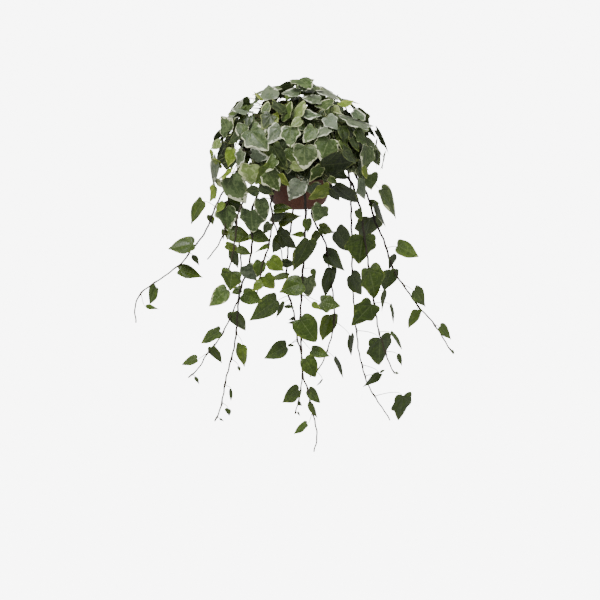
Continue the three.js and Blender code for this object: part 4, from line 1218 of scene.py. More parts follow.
@dataclass(frozen=True)
class Wiring:
    """Builds a node tree, of Geometry Nodes or of a material."""

    tree: bpy.types.NodeTree

    def __post_init__(self) -> None:
        """Starts with the tree's nodes cleared."""
        self.tree.nodes.clear()

    def node(self, kind: str, values: dict | None = None, **settings) -> bpy.types.Node:
        """Adds a node.

        Args:
            kind: Its type.
            values: What its inputs take, by name or number: a value or another node's output.
            settings: Its properties.

        Returns:
            The node.
        """
        node = self.tree.nodes.new(kind)
        for name, value in settings.items():
            setattr(node, name, value)
        for key, value in (values or {}).items():
            self.feed(node.inputs[key], value)
        return node

    def feed(self, socket: bpy.types.NodeSocket, value: object) -> None:
        """Links an output to an input, or sets a plain value on it.

        Args:
            socket: The input.
            value: What it takes.
        """
        value = value.socket if isinstance(value, Signal) else value
        if isinstance(value, bpy.types.NodeSocket):
            self.tree.links.new(value, socket)
        else:
            socket.default_value = value

    def signal(self, kind: str, values: dict | None = None, output: int | str = 0,
               **settings) -> Signal:
        """Adds a node of which one output is used.

        Args:
            kind: Its type.
            values: What its inputs take.
            output: The output's name or number.
            settings: Its properties.

        Returns:
            The output.
        """
        return Signal(self, self.node(kind, values, **settings).outputs[output])

    def maths(self, operation: str, *values: object) -> Signal:
        """Returns the result of a Math node."""
        return self.signal("ShaderNodeMath", dict(enumerate(values)), operation=operation)

    def attribute(self, name: str, output: str = "Color") -> Signal:
        """Returns an attribute of the mesh, in a material."""
        return self.signal("ShaderNodeAttribute", output=output, attribute_name=name)

    def named(self, name: str, kind: str = "FLOAT") -> Signal:
        """Returns a Named Attribute field, in a Geometry Nodes tree."""
        return self.signal("GeometryNodeInputNamedAttribute", {"Name": name}, "Attribute",
                           data_type=kind)

    def blend(self, share: object, first: object, second: object) -> Signal:
        """Mixes two colours.

        Args:
            share: How far to go from the first to the second.
            first: A colour or an output.
            second: Another.

        Returns:
            The mixed colour.
        """
        first, second = ((*colour, 1) if isinstance(colour, tuple) else colour
                         for colour in (first, second))
        return self.signal("ShaderNodeMix", {0: share, 6: first, 7: second}, 2,
                           data_type="RGBA")

    def shaded(self, colour: Signal, cloud: Signal, dark: float, light: float) -> Signal:
        """Darkens and lightens a colour by a cloudy value.

        Args:
            colour: The colour.
            cloud: The cloudy value, mostly from 0.25 to 0.75.
            dark: What the colour is multiplied by at 0.25.
            light: What it is multiplied by at 0.75.

        Returns:
            The new colour.
        """
        value = self.signal("ShaderNodeMapRange", {0: cloud, 1: 0.25, 2: 0.75, 3: dark, 4: light})
        return self.signal("ShaderNodeHueSaturation", {"Value": value, "Color": colour})

    def step(self, value: object, low: object, high: object) -> Signal:
        """Makes a smooth step.

        Args:
            value: What decides.
            low: Where the step is 0.
            high: Where it is 1.

        Returns:
            The step.
        """
        return self.signal("ShaderNodeMapRange", {0: value, 1: low, 2: high},
                           interpolation_type="SMOOTHSTEP")

    def noise(self, where: object, scale: float, detail: float = 2.0,
              distortion: float = 0.0) -> Signal:
        """Adds a Noise Texture.

        Args:
            where: The place that it is read at.
            scale: How fine it is.
            detail: How many finer layers it has.
            distortion: How much it swirls.

        Returns:
            Its value, from 0 to 1.
        """
        return self.signal("ShaderNodeTexNoise", {"Vector": where, "Scale": scale,
                                                  "Detail": detail, "Distortion": distortion})


@dataclass(frozen=True)
class Finish:
    """A procedural material. Its kinds say what it looks like."""

    name: str
    roughness: float
    bump: float = 0.3
    relief: float = 0.0005
    glow: float = 0.0

    def material(self) -> bpy.types.Material:
        """Builds the material.

        Returns:
            One shader with the colour, roughness and height of the kind.
        """
        material = bpy.data.materials.new(self.name)
        material.use_nodes = True
        wiring = Wiring(material.node_tree)
        place = wiring.signal("ShaderNodeTexCoord", output="Object")
        colour, roughness, height = self.layers(wiring, place)
        bump = wiring.signal("ShaderNodeBump", {"Strength": self.bump, "Distance": self.relief,
                                                "Height": height})
        shader = wiring.signal("ShaderNodeBsdfPrincipled", {
            "Base Color": colour, "Roughness": roughness, "Normal": bump,
            "Emission Color": (1, 1, 1, 1), "Emission Strength": self.glow})
        wiring.node("ShaderNodeOutputMaterial", {"Surface": shader})
        return material

    def layers(self, wiring: Wiring, place: Signal) -> Layers:
        """Wires what a kind of finish looks like.

        Args:
            wiring: The material's nodes.
            place: Where a point of the surface is.

        Returns:
            The colour, roughness and height.
        """
        raise NotImplementedError


@dataclass(frozen=True)
class LeafFinish(Finish):
    """An ivy blade: grey-green patches inside a jagged pale margin, with pale veins.

    The plan of a blade gives how many veins from the midrib a place lies, and how near to the
    rim it is. Every blade brings its own colours as attributes.
    """

    vein: Colour = linear(136, 150, 96)
    underside: Colour = linear(104, 122, 78)
    patch_scale: float = 190.0
    edge_scale: float = 420.0
    swell_scale: float = 42.0
    patch_heart: float = 0.55
    patch_lean: float = 0.7
    patch_blur: float = 0.06
    ragged: float = 0.16
    frayed: float = 0.1
    narrowest: float = -0.1
    widening: float = 1.8
    edge_blur: tuple[float, float] = (0.025, 0.015)
    main_vein_show: float = 0.27
    side_vein_show: float = 0.16
    underside_show: float = 0.5
    warp: float = 0.004

    def layers(self, wiring: Wiring, place: Signal) -> Layers:
        """Wires the blade.

        Args:
            wiring: The material's nodes.
            place: Where a point of the blade is.

        Returns:
            The colour, roughness and height.
        """
        phase, rim, _ = wiring.signal("ShaderNodeUVMap", uv_map="plan").parts()
        ground, patch, margin = map(wiring.attribute, ("ground", "patch", "margin"))
        under = wiring.attribute("under", "Fac")
        margin_width, patch_share, _ = wiring.attribute("traits", "Vector").parts()
        from_vein = wiring.maths("ABSOLUTE", phase - wiring.maths("ROUND", phase))
        main_vein = self.main_veins(wiring, from_vein, rim)
        side_vein = self.side_veins(wiring, from_vein, rim)

        patchy, uneven, _ = wiring.signal("ShaderNodeTexVoronoi", {
            "Vector": self.warped(wiring, place), "Scale": self.patch_scale}, "Color").parts()
        patchy = patchy + (self.patch_heart - rim) * self.patch_lean
        patched = wiring.step(patchy, patch_share + self.patch_blur,
                              patch_share - self.patch_blur)
        inwards = ((1.0 - rim) + (uneven - 0.5) * self.ragged
                   + (wiring.noise(place, self.edge_scale) - 0.5) * self.frayed)
        swell = wiring.step(wiring.noise(place, self.swell_scale), 0.36, 0.64)
        width = margin_width * (swell * self.widening + self.narrowest)
        edged = wiring.step(inwards, width + self.edge_blur[0], width - self.edge_blur[1])

        colour = wiring.blend(patched, ground, patch)
        colour = wiring.blend(edged, colour, margin)
        colour = wiring.blend(main_vein * self.main_vein_show, colour, self.vein)
        colour = wiring.blend(side_vein * self.side_vein_show, colour, self.vein)
        colour = wiring.shaded(colour, wiring.noise(place, 90.0, 4.0), 0.84, 1.14)
        colour = wiring.blend(under * self.underside_show, colour, self.underside)
        roughness = under * 0.2 + wiring.noise(place, 160.0) * 0.12 + self.roughness
        height = wiring.noise(place, 240.0, 3.0) - (main_vein * 0.9 + side_vein * 0.45)
        return colour, roughness, height

    def warped(self, wiring: Wiring, place: Signal) -> Signal:
        """Pushes places about a little, so that patches are not straight-edged.

        Args:
            wiring: The material's nodes.
            place: Where a point of the blade is.

        Returns:
            The place, pushed.
        """
        push = wiring.signal("ShaderNodeTexNoise", {"Vector": place, "Scale": 260.0}, "Color")
        centred = wiring.signal("ShaderNodeVectorMath", {0: push, 1: (0.5, 0.5, 0.5)},
                                operation="SUBTRACT")
        scaled = wiring.signal("ShaderNodeVectorMath", {0: centred, "Scale": self.warp},
                               operation="SCALE")
        return wiring.signal("ShaderNodeVectorMath", {0: place, 1: scaled}, operation="ADD")

    @staticmethod
    def main_veins(wiring: Wiring, from_vein: Signal, rim: Signal) -> Signal:
        """Draws the veins that run to the tips of the lobes, thinning outwards.

        Args:
            wiring: The material's nodes.
            from_vein: How far a point is from the nearest of them, in veins.
            rim: How near it is to the rim.

        Returns:
            1 on the veins and 0 off them.
        """
        width = 0.034 - rim * 0.022
        return wiring.step(from_vein * (rim + 0.02), width, width * 0.35)

    @staticmethod
    def side_veins(wiring: Wiring, from_vein: Signal, rim: Signal) -> Signal:
        """Draws thin veins that leave the main ones slantwise.

        Args:
            wiring: The material's nodes.
            from_vein: How far a point is from the nearest main vein, in veins.
            rim: How near it is to the rim.

        Returns:
            1 on the veins and 0 off them.
        """
        run = wiring.maths("FRACT", rim * 6.0 - from_vein * 3.2)
        return wiring.step(wiring.maths("ABSOLUTE", run - 0.5), 0.1, 0.02)


@dataclass(frozen=True)
class StemFinish(Finish):
    """Bark or stalk skin, streaked, that changes from its old end to its young end."""

    old: Colour = linear(42, 33, 28)
    young: Colour = linear(66, 60, 38)
    fleck: Colour = linear(84, 74, 60)

    def layers(self, wiring: Wiring, place: Signal) -> Layers:
        """Wires the skin.

        Args:
            wiring: The material's nodes.
            place: Where a point of the skin is.

        Returns:
            The colour, roughness and height.
        """
        grain = wiring.noise(place, 700.0, 3.0, 0.6)
        age = wiring.step(wiring.attribute("age", "Fac"), 0.1, 1.0)
        colour = wiring.blend(age, self.old, self.young)
        colour = wiring.blend(wiring.step(grain, 0.5, 0.72) * 0.5, colour, self.fleck)
        colour = wiring.shaded(colour, wiring.noise(place, 60.0, 2.0), 0.75, 1.2)
        return colour, grain * 0.2 + self.roughness, grain


@dataclass(frozen=True)
class PotFinish(Finish):
    """Reddish-brown moulded plastic with fine turned rings, scuffs and a little soil dust."""

    body: Colour = linear(108, 58, 43)
    worn: Colour = linear(130, 80, 60)
    dust: Colour = linear(142, 106, 84)
    ring_pitch: float = 0.002417
    dusty_from: float = -0.04
    dusty_to: float = -0.08

    def layers(self, wiring: Wiring, place: Signal) -> Layers:
        """Wires the plastic.

        Args:
            wiring: The material's nodes.
            place: Where a point of the pot is.

        Returns:
            The colour, roughness and height.
        """
        up = place.parts()[2]
        cloud = wiring.noise(place, 26.0, 4.0)
        speckle = wiring.noise(place, 900.0, 2.0)
        stretched = wiring.signal("ShaderNodeMapping", {0: place, "Scale": (1, 1, 0.12)})
        scuff = wiring.noise(stretched, 160.0, 5.0, 0.4)
        ring = wiring.maths("SINE", up * (2 * math.pi / self.ring_pitch))
        dusty = (wiring.step(up, self.dusty_from, self.dusty_to)
                 * wiring.step(speckle, 0.45, 0.7))
        colour = wiring.blend(wiring.step(cloud, 0.35, 0.75), self.body, self.worn)
        colour = wiring.blend(wiring.step(scuff, 0.58, 0.78) * 0.45, colour, self.dust)
        colour = wiring.blend(dusty * 0.4, colour, self.dust)
        roughness = cloud * 0.14 + dusty * 0.2 + self.roughness
        return colour, roughness, ring * 0.12 + speckle + scuff * 0.5


@dataclass(frozen=True)
class SoilFinish(Finish):
    """Moist peat: near-black crumbs with brown fibres."""

    damp: Colour = linear(38, 28, 21)
    dry: Colour = linear(82, 62, 46)
    fibre: Colour = linear(118, 92, 64)

    def layers(self, wiring: Wiring, place: Signal) -> Layers:
        """Wires the peat.

        Args:
            wiring: The material's nodes.
            place: Where a point of the soil is.

        Returns:
            The colour, roughness and height.
        """
        clods = wiring.noise(place, 150.0, 6.0, 0.5)
        fine = wiring.noise(place, 1100.0, 3.0)
        gap = wiring.signal("ShaderNodeTexVoronoi", {"Vector": place, "Scale": 320.0},
                            feature="DISTANCE_TO_EDGE")
        threads = wiring.step(gap, 0.06, 0.0) * wiring.step(fine, 0.5, 0.65)
        colour = wiring.blend(wiring.step(clods, 0.4, 0.7), self.damp, self.dry)
        colour = wiring.blend(threads * 0.6, colour, self.fibre)
        return colour, self.roughness - fine * 0.15, clods + fine * 0.5


@dataclass(frozen=True)
class FloorFinish(Finish):
    """A plain pale studio floor with a trace of grain, lit through from below."""

    pale: Colour = linear(246, 246, 244)
    paler: Colour = linear(253, 253, 252)

    def layers(self, wiring: Wiring, place: Signal) -> Layers:
        """Wires the floor.

        Args:
            wiring: The material's nodes.
            place: Where a point of the floor is.

        Returns:
            The colour, roughness and height.
        """
        grain = wiring.noise(place, 60.0, 2.0)
        colour = wiring.blend(wiring.noise(place, 1.2, 3.0), self.pale, self.paler)
        return colour, grain * 0.05 + self.roughness, grain


LEAF_FINISH = LeafFinish("ivy_leaf", 0.34, 0.35, 0.0009)
STEM_FINISH = StemFinish("ivy_stem", 0.55, 0.4, 0.0004)
STALK_FINISH = StemFinish("ivy_leaf_stalk", 0.45, 0.25, 0.0002, old=linear(66, 58, 36),
                          young=linear(92, 98, 52), fleck=linear(104, 98, 70))
POT_FINISH = PotFinish("pot_plastic", 0.36, 0.2, 0.0002)
SOIL_FINISH = SoilFinish("potting_soil", 0.95, 0.8, 0.0012)
FLOOR_FINISH = FloorFinish("studio_floor", 0.85, 0.05, 0.001, glow=6.5)


def plain_mesh(name: str, points: Point, faces: Sequence[Sequence[int]],
               edges: Sequence[Sequence[int]] = ()) -> bpy.types.Mesh:
    """Makes a mesh from places in millimetres.

    Args:
        name: Its name.
        points: Its vertices.
        faces: Its faces, as vertex numbers.
        edges: Its loose edges.

    Returns:
        The mesh in metres.
    """
    mesh = bpy.data.meshes.new(name)
    mesh.from_pydata((np.asarray(points) * METRES).tolist(), [tuple(e) for e in edges], faces)
    mesh.update()
    return mesh


def store(mesh: bpy.types.Mesh, name: str, kind: str, values: Iterable,
          domain: str = "POINT") -> None:
    """Stores values as an attribute of a mesh.

    Args:
        mesh: The mesh.
        name: The attribute's name.
        kind: Its data type.
        values: One value for each element of the domain.
        domain: What it belongs to.
    """
    key = {"FLOAT_VECTOR": "vector", "FLOAT_COLOR": "color"}.get(kind, "value")
    plain = {"BOOLEAN": bool, "INT": np.int32}.get(kind, np.float32)
    layer = mesh.attributes.new(name, kind, domain)
    layer.data.foreach_set(key, np.array(list(values), dtype=plain).ravel())


def placed_piece(name: str, mesh: bpy.types.Mesh) -> bpy.types.Object:
    """Puts a mesh in the scene, at the origin.

    Args:
        name: The piece's name.
        mesh: Its mesh.

    Returns:
        The piece.
    """
    piece = bpy.data.objects.new(name, mesh)
    bpy.context.collection.objects.link(piece)
    return piece


def settled_piece(piece: bpy.types.Object) -> bpy.types.Object:
    """Turns a piece with live modifiers into a plain mesh.

    Args:
        piece: The piece.

    Returns:
        The same piece, with its evaluated mesh and no modifiers.
    """
    graph = bpy.context.evaluated_depsgraph_get()
    shape = bpy.data.meshes.new_from_object(piece.evaluated_get(graph),
                                            preserve_all_data_layers=True, depsgraph=graph)
    piece.modifiers.clear()
    piece.data = shape
    shape.name = piece.name
    return piece


def belong(piece: bpy.types.Object, node: str) -> None:
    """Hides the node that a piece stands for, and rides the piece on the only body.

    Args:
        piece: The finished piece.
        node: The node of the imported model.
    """
    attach(piece, "root")
    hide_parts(node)
    LOG.info("%s: %d faces", piece.name, len(piece.data.polygons))


@dataclass
class Tree:
    """A Geometry Nodes tree. Its inputs after the geometry go by name to a type of socket."""

    name: str
    inputs: dict[str, str]

    def __post_init__(self) -> None:
        """Makes the tree, with no nodes but its input."""
        self.group = bpy.data.node_groups.new(self.name, "GeometryNodeTree")
        self.wiring = Wiring(self.group)
        faces = self.group.interface
        faces.new_socket("Geometry", in_out="INPUT", socket_type="NodeSocketGeometry")
        faces.new_socket("Geometry", in_out="OUTPUT", socket_type="NodeSocketGeometry")
        self.keys = {
            name: faces.new_socket(name, in_out="INPUT", socket_type=kind).identifier
            for name, kind in self.inputs.items()
        }
        self.source = self.wiring.node("NodeGroupInput")

    def value(self, name: str) -> bpy.types.NodeSocket:
        """Returns the socket of a named input."""
        return self.source.outputs[name]

    def equals(self, name: str, number: int) -> bpy.types.NodeSocket:
        """Compares an attribute.

        Args:
            name: The attribute, of whole numbers.
            number: What to look for.

        Returns:
            A field that is true where the attribute holds the number.
        """
        compare = self.wiring.node("FunctionNodeCompare", data_type="INT", operation="EQUAL")
        sockets = {socket.identifier: socket for socket in compare.inputs}
        self.wiring.feed(sockets["A_INT"], self.wiring.named(name, "INT"))
        self.wiring.feed(sockets["B_INT"], number)
        return compare.outputs[0]

    def finish(self, geometry: bpy.types.NodeSocket,
               materials: Sequence[tuple[object, str]]) -> None:
        """Ends the tree: instances made real, then materials set.

        Args:
            geometry: What comes out.
            materials: Which faces take the material of which named input.
        """
        real = self.wiring.node("GeometryNodeRealizeInstances", {0: geometry}).outputs[0]
        for selection, name in materials:
            values = {"Geometry": real, "Material": self.value(name)}
            if selection is not None:
                values["Selection"] = selection
            real = self.wiring.node("GeometryNodeSetMaterial", values).outputs[0]
        self.wiring.node("NodeGroupOutput", {0: real})

    def grow(self, piece: bpy.types.Object, values: dict[str, object]) -> bpy.types.Object:
        """Grows the tree on a piece.

        Args:
            piece: The piece with the tree's source mesh.
            values: What the named inputs take.

        Returns:
            The piece as a plain mesh.
        """
        modifier = piece.modifiers.new(self.group.name, "NODES")
        modifier.node_group = self.group
        for name, value in values.items():
            modifier[self.keys[name]] = value
        return settled_piece(piece)


@dataclass
class LeafMasters:
    """The blades that all leaves are grown from: thin closed lenses, no two bent alike.

    A blade is 1 long and 1 wide, lies along +Y and looks up. Its thickness, fold and waves are
    shares of its length.
    """

    thickness: float = 0.011
    heart_of_veins: float = 0.06
    rings: tuple[float, ...] = (0.2, 0.44, 0.68, 0.87, 1.0)
    sliver_calm: float = 0.6
    fold: Range = (-0.06, 0.14)
    droop: Range = (-0.02, 0.26)
    hang: Range = (-0.05, 0.3)
    wave: Range = (0.01, 0.035)
    waves: float = 4.2
    twist: Range = (-0.12, 0.12)
    pucker: Range = (0.012, 0.028)
    lobe_reach: Range = (0.93, 1.06)
    notch_depth: Range = (0.84, 1.03)
    raggedness: Range = (0.985, 1.015)
    lean: Range = (-0.07, 0.07)
    seed: int = 7
    indices: dict[LeafForm, list[int]] = field(default_factory=dict)

    def build(self) -> bpy.types.Collection:
        """Makes every blade.

        Returns:
            The collection that holds them, which is not shown.
        """
        rng = np.random.default_rng(self.seed)
        shelf = bpy.data.collections.new("leaf_masters")
        count = 0
        for form, shape in LEAF_SHAPES.items():
            self.indices[form] = list(range(count, count + shape.variants))
            for _ in range(shape.variants):
                mesh = self.blade(f"leaf_{count:02d}", shape, form, rng)
                shelf.objects.link(bpy.data.objects.new(mesh.name, mesh))
                count += 1
        return shelf

    def blade(self, name: str, shape: LeafShape, form: LeafForm,
              rng: np.random.Generator) -> bpy.types.Mesh:
        """Makes one blade.

        Args:
            name: Its name.
            shape: Its outline.
            form: Its form.
            rng: Gives its bends.

        Returns:
            Its mesh, with its plan as a UV map and its underside marked.
        """
        rim = self.outline(shape, form, rng)
        sides, rings = len(rim), len(self.rings)
        pole = np.array([0, self.heart_of_veins])
        flat = [(*pole, 0.0, 0.0)]
        for share in self.rings:
            flat += [(*(pole + (spot[:2] - pole) * share), spot[2], share) for spot in rim]
        flat = np.array(flat)
        middle = self.bent(flat, form, rng)
        lift = np.zeros_like(middle)
        lift[:, 2] = self.thickness / 2 * (1 - flat[:, 3] ** 2)
        inner = 1 + sides * (rings - 1)
        points = np.vstack([middle + lift, (middle - lift)[:inner]])
        below = len(middle)

        def at(ring: int, spot: int, under: bool) -> int:
            """Returns the number of a vertex of a ring."""
            index = 1 + ring * sides + spot % sides
            return index + below if under and ring < rings - 1 else index

        faces, plans = [], []
        for under in (False, True):
            for spot in range(sides):
                here, there = rim[spot][2], rim[(spot + 1) % sides][2]
                if spot == sides - 1:
                    there = -here
                first = self.rings[0]
                corners = [below if under else 0, at(0, spot, under), at(0, spot + 1, under)]
                plan = [((here + there) / 2, 0), (here, first), (there, first)]
                faces.append(corners[::-1] if under else corners)
                plans += plan[::-1] if under else plan
                for ring in range(rings - 1):
                    low, high = self.rings[ring], self.rings[ring + 1]
                    corners = [at(ring, spot, under), at(ring + 1, spot, under),
                               at(ring + 1, spot + 1, under), at(ring, spot + 1, under)]
                    plan = [(here, low), (here, high), (there, high), (there, low)]
                    faces.append(corners[::-1] if under else corners)
                    plans += plan[::-1] if under else plan
        mesh = plain_mesh(name, points / METRES, faces)
        mesh.uv_layers.new(name="plan").data.foreach_set("uv", np.array(plans).ravel())
        half = len(faces) // 2
        store(mesh, "under", "FLOAT", [0.0] * half + [1.0] * half, "FACE")
        last_ring = below - sides
        sharp = [edge.vertices[0] >= last_ring and edge.vertices[1] >= last_ring
                 and edge.vertices[0] < below and edge.vertices[1] < below
                 for edge in mesh.edges]
        store(mesh, "sharp_edge", "BOOLEAN", sharp, "EDGE")
        return mesh

    def outline(self, shape: LeafShape, form: LeafForm, rng: np.random.Generator) -> Point:
        """Draws a rim, uneven as real ones are.

        Args:
            shape: The usual half outline.
            form: The leaf's form.
            rng: Gives the unevenness.

        Returns:
            Rows of x, y and phase: from the notch at the stalk, round by the right to the tip
            and back by the left.
        """
        half = np.array(shape.outline)
        notch = {SLIVER: -0.03, HEART: 0.0, LOBED: 0.015}[form]
        right, left = half.copy(), half[::-1] * (-1, 1, -1)
        end = half[0, 2] + 0.2
        rim = np.vstack([[(0, notch, end)], right, [(0, 1, 0)], left])
        reach = rng.uniform(*self.lobe_reach, 7)
        depth = rng.uniform(*self.notch_depth)
        for spot in rim[1:]:
            factor = np.interp(spot[2], np.linspace(-3, 3, 7), reach)
            if abs(spot[2]) < 0.1:
                factor = 1
            gap = math.sin(math.pi * min(abs(spot[2]), 2)) ** 2
            if form is LOBED:
                factor *= 1 - (1 - depth) * gap
            spot[0] *= factor * rng.uniform(*self.raggedness)
            spot[1] = lerp(self.heart_of_veins, spot[1], factor)
        lean = rng.uniform(*self.lean)
        rim[:, 0] += lean * rim[:, 1] ** 2 * (1 - 0.3 * rim[:, 1])
        # The list runs clockwise seen from above, and faces need it the other way round.
        rim = np.vstack([rim[:1], rim[:0:-1]])
        rim[0, 2] = -end
        return rim

    def bent(self, flat: Point, form: LeafForm, rng: np.random.Generator) -> Point:
        """Bends a flat blade.

        Args:
            flat: Rows of x, y, phase and how near the rim it is.
            form: The leaf's form.
            rng: Gives the bends.

        Returns:
            The places in the round.
        """
        x, y, phase, near = flat.T
        calm = self.sliver_calm if form is SLIVER else 1.0
        fold = rng.uniform(*self.fold) * calm
        droop = rng.uniform(*self.droop)
        hang = rng.uniform(*self.hang) * calm
        wave, turn = rng.uniform(*self.wave), rng.uniform(0, 2 * math.pi)
        twist = rng.uniform(*self.twist)
        pucker = rng.uniform(*self.pucker) * calm
        z = fold * (np.sqrt(x**2 + 0.0025) - 0.05)
        z = z - droop * np.clip(y - 0.25, 0, None) ** 2
        z = z - hang * np.clip(np.abs(x) - 0.18, 0, None) ** 2
        z = z + twist * x * (y - 0.2)
        z = z + wave * np.sin(phase * self.waves + turn) * near**2
        z = z + pucker * np.sin(math.pi * np.abs(phase)) ** 2 * np.sin(math.pi * near)
        return np.stack([x, y, z], axis=1)


@dataclass
class PlantGrower:
    """Turns the laid-out plants into pieces: stems, leaf stalks and blades in one tree."""

    stem_step: float = 4.0
    stem_slimming: float = 1.6
    stem_wobble: float = 0.5
    wobble_pitches: tuple[float, ...] = (23.0, 31.0, 41.0)
    knuckle: float = 1.4
    knuckle_reach: float = 4.0
    stem_most: float = 1.5
    stem_sides: int = 8
    stalk_sides: int = 6
    stalk_steps: int = 8
    stalk_radius: float = 0.8
    stalk_tip_radius: float = 0.42
    colour_jitter: float = 0.07
    seed: int = 11
    masters: LeafMasters = field(default_factory=LeafMasters)

    def prepare(self) -> None:
        """Builds the blades, the tree and the finishes, once for all plants."""
        self.shelf = self.masters.build()
        self.rng = np.random.default_rng(self.seed)
        self.finishes = {"Blade finish": LEAF_FINISH.material(),
                         "Stem finish": STEM_FINISH.material(),
                         "Stalk finish": STALK_FINISH.material()}
        self.tree = self.grown_plant_tree()

    def grown_plant_tree(self) -> Tree:
        """Builds the tree that grows a plant from its lines and points.

        Returns:
            The tree. Lines of part 0 become the stem and of part 1 the stalks, and every point of
            part 2 takes a blade.
        """
        tree = Tree("Grown plant", {
            "Blades": "NodeSocketCollection", "Stem sides": "NodeSocketInt",
            "Stalk sides": "NodeSocketInt", "Blade finish": "NodeSocketMaterial",
            "Stem finish": "NodeSocketMaterial", "Stalk finish": "NodeSocketMaterial"})
        wiring = tree.wiring
        blades = wiring.node("GeometryNodeCollectionInfo", {
            "Collection": tree.value("Blades"), "Separate Children": True,
            "Reset Children": True})
        spots = wiring.node("GeometryNodeSeparateGeometry", {
            "Geometry": tree.value("Geometry"), "Selection": tree.equals("part", 2)})
        leaves = wiring.node("GeometryNodeInstanceOnPoints", {
            "Points": spots.outputs[0], "Instance": blades.outputs[0], "Pick Instance": True,
            "Instance Index": wiring.named("kind", "INT"),
            "Rotation": wiring.named("turn", "QUATERNION"),
            "Scale": wiring.named("size", "FLOAT_VECTOR")})
        join = wiring.node("GeometryNodeJoinGeometry")
        for part, sides in ((1, "Stalk sides"), (0, "Stem sides")):
            lines = wiring.node("GeometryNodeSeparateGeometry", {
                "Geometry": tree.value("Geometry"), "Selection": tree.equals("part", part)})
            curve = wiring.node("GeometryNodeMeshToCurve", {"Mesh": lines.outputs[0]})
            ring = wiring.node("GeometryNodeCurvePrimitiveCircle", {
                "Resolution": tree.value(sides), "Radius": 1.0})
            tube = wiring.node("GeometryNodeCurveToMesh", {
                "Curve": curve.outputs[0], "Profile Curve": ring.outputs[0],
                "Scale": wiring.named("thickness"), "Fill Caps": True})
            wiring.feed(join.inputs[0], tube.outputs[0])
        wiring.feed(join.inputs[0], leaves.outputs[0])
        smooth = wiring.node("GeometryNodeSetShadeSmooth", {"Geometry": join.outputs[0]})
        tree.finish(smooth.outputs[0], ((tree.equals("part", 2), "Blade finish"),
                                        (tree.equals("part", 0), "Stem finish"),
                                        (tree.equals("part", 1), "Stalk finish")))
        return tree

    def piece(self, plant: Plant, slot: str) -> bpy.types.Object:
        """Grows one plant.

        Args:
            plant: Where it lies.
            slot: Not used.

        Returns:
            The finished piece.
        """
        stem, radii = self.stem_line(plant)
        lines = [(0, stem, radii, np.linspace(0, 1, len(stem)))]
        for blade, foot in plant.leaves:
            start = stem[np.argmin(np.linalg.norm(stem - foot, axis=1))]
            stalk = self.stalk_line(start, blade)
            share = np.linspace(0, 1, len(stalk))
            lines.append((1, stalk, lerp(self.stalk_radius, self.stalk_tip_radius, share), share))
        mesh = self.source_mesh(plant, lines)
        piece = placed_piece(f"ivy_{plant.name}", mesh)
        self.tree.grow(piece, {"Blades": self.shelf, "Stem sides": self.stem_sides,
                               "Stalk sides": self.stalk_sides, **self.finishes})
        belong(piece, plant.name)
        return piece

    def stem_line(self, plant: Plant) -> tuple[Point, Point]:
        """Draws a stem.

        Args:
            plant: The plant.

        Returns:
            The points of its middle line, and its radius at each: it thins towards the tip and
            swells where a leaf grows.
        """
        path = SmoothPath(plant.joints)
        count = max(round(path.length / self.stem_step), 8)
        points = path.spaced(count)
        share = np.linspace(0, 1, count + 1)
        phase = self.rng.uniform(0, 2 * math.pi, 3)
        run = share * path.length
        for axis, (pitch, start) in enumerate(zip(self.wobble_pitches, phase)):
            points[:, axis] += self.stem_wobble * np.sin(run / pitch * 2 * math.pi + start) * (
                np.minimum(share * 6, 1))
        radii = lerp(plant.radius, plant.tip_radius, share) * self.stem_slimming
        for _, foot in plant.leaves:
            near = np.linalg.norm(points - foot, axis=1)
            near = near - near.min()
            radii *= 1 + (self.knuckle - 1) * np.exp(-((near / self.knuckle_reach) ** 2))
        return points, np.minimum(radii, plant.radius * self.stem_most)

    def stalk_line(self, start: Point, blade: Blade) -> Point:
        """Draws a leaf stalk: out of the stem and in under the foot of its blade.

        Args:
            start: Where it leaves the stem.
            blade: The blade it carries.

        Returns:
            The points of its middle line.
        """
        end = blade.place(0, Blade.STALK_BITE) - blade.normal * self.stalk_tip_radius
        span = float(np.linalg.norm(end - start))
        arrive = end - (blade.along * 0.8 + blade.normal * 0.35) * 0.34 * span
        leave = start + (end - start) * 0.3 + np.array([0, 0, 0.1 * span])
        t = np.linspace(0, 1, self.stalk_steps)[:, None]
        return ((1 - t) ** 3 * start + 3 * (1 - t) ** 2 * t * leave
                + 3 * (1 - t) * t**2 * arrive + t**3 * end)

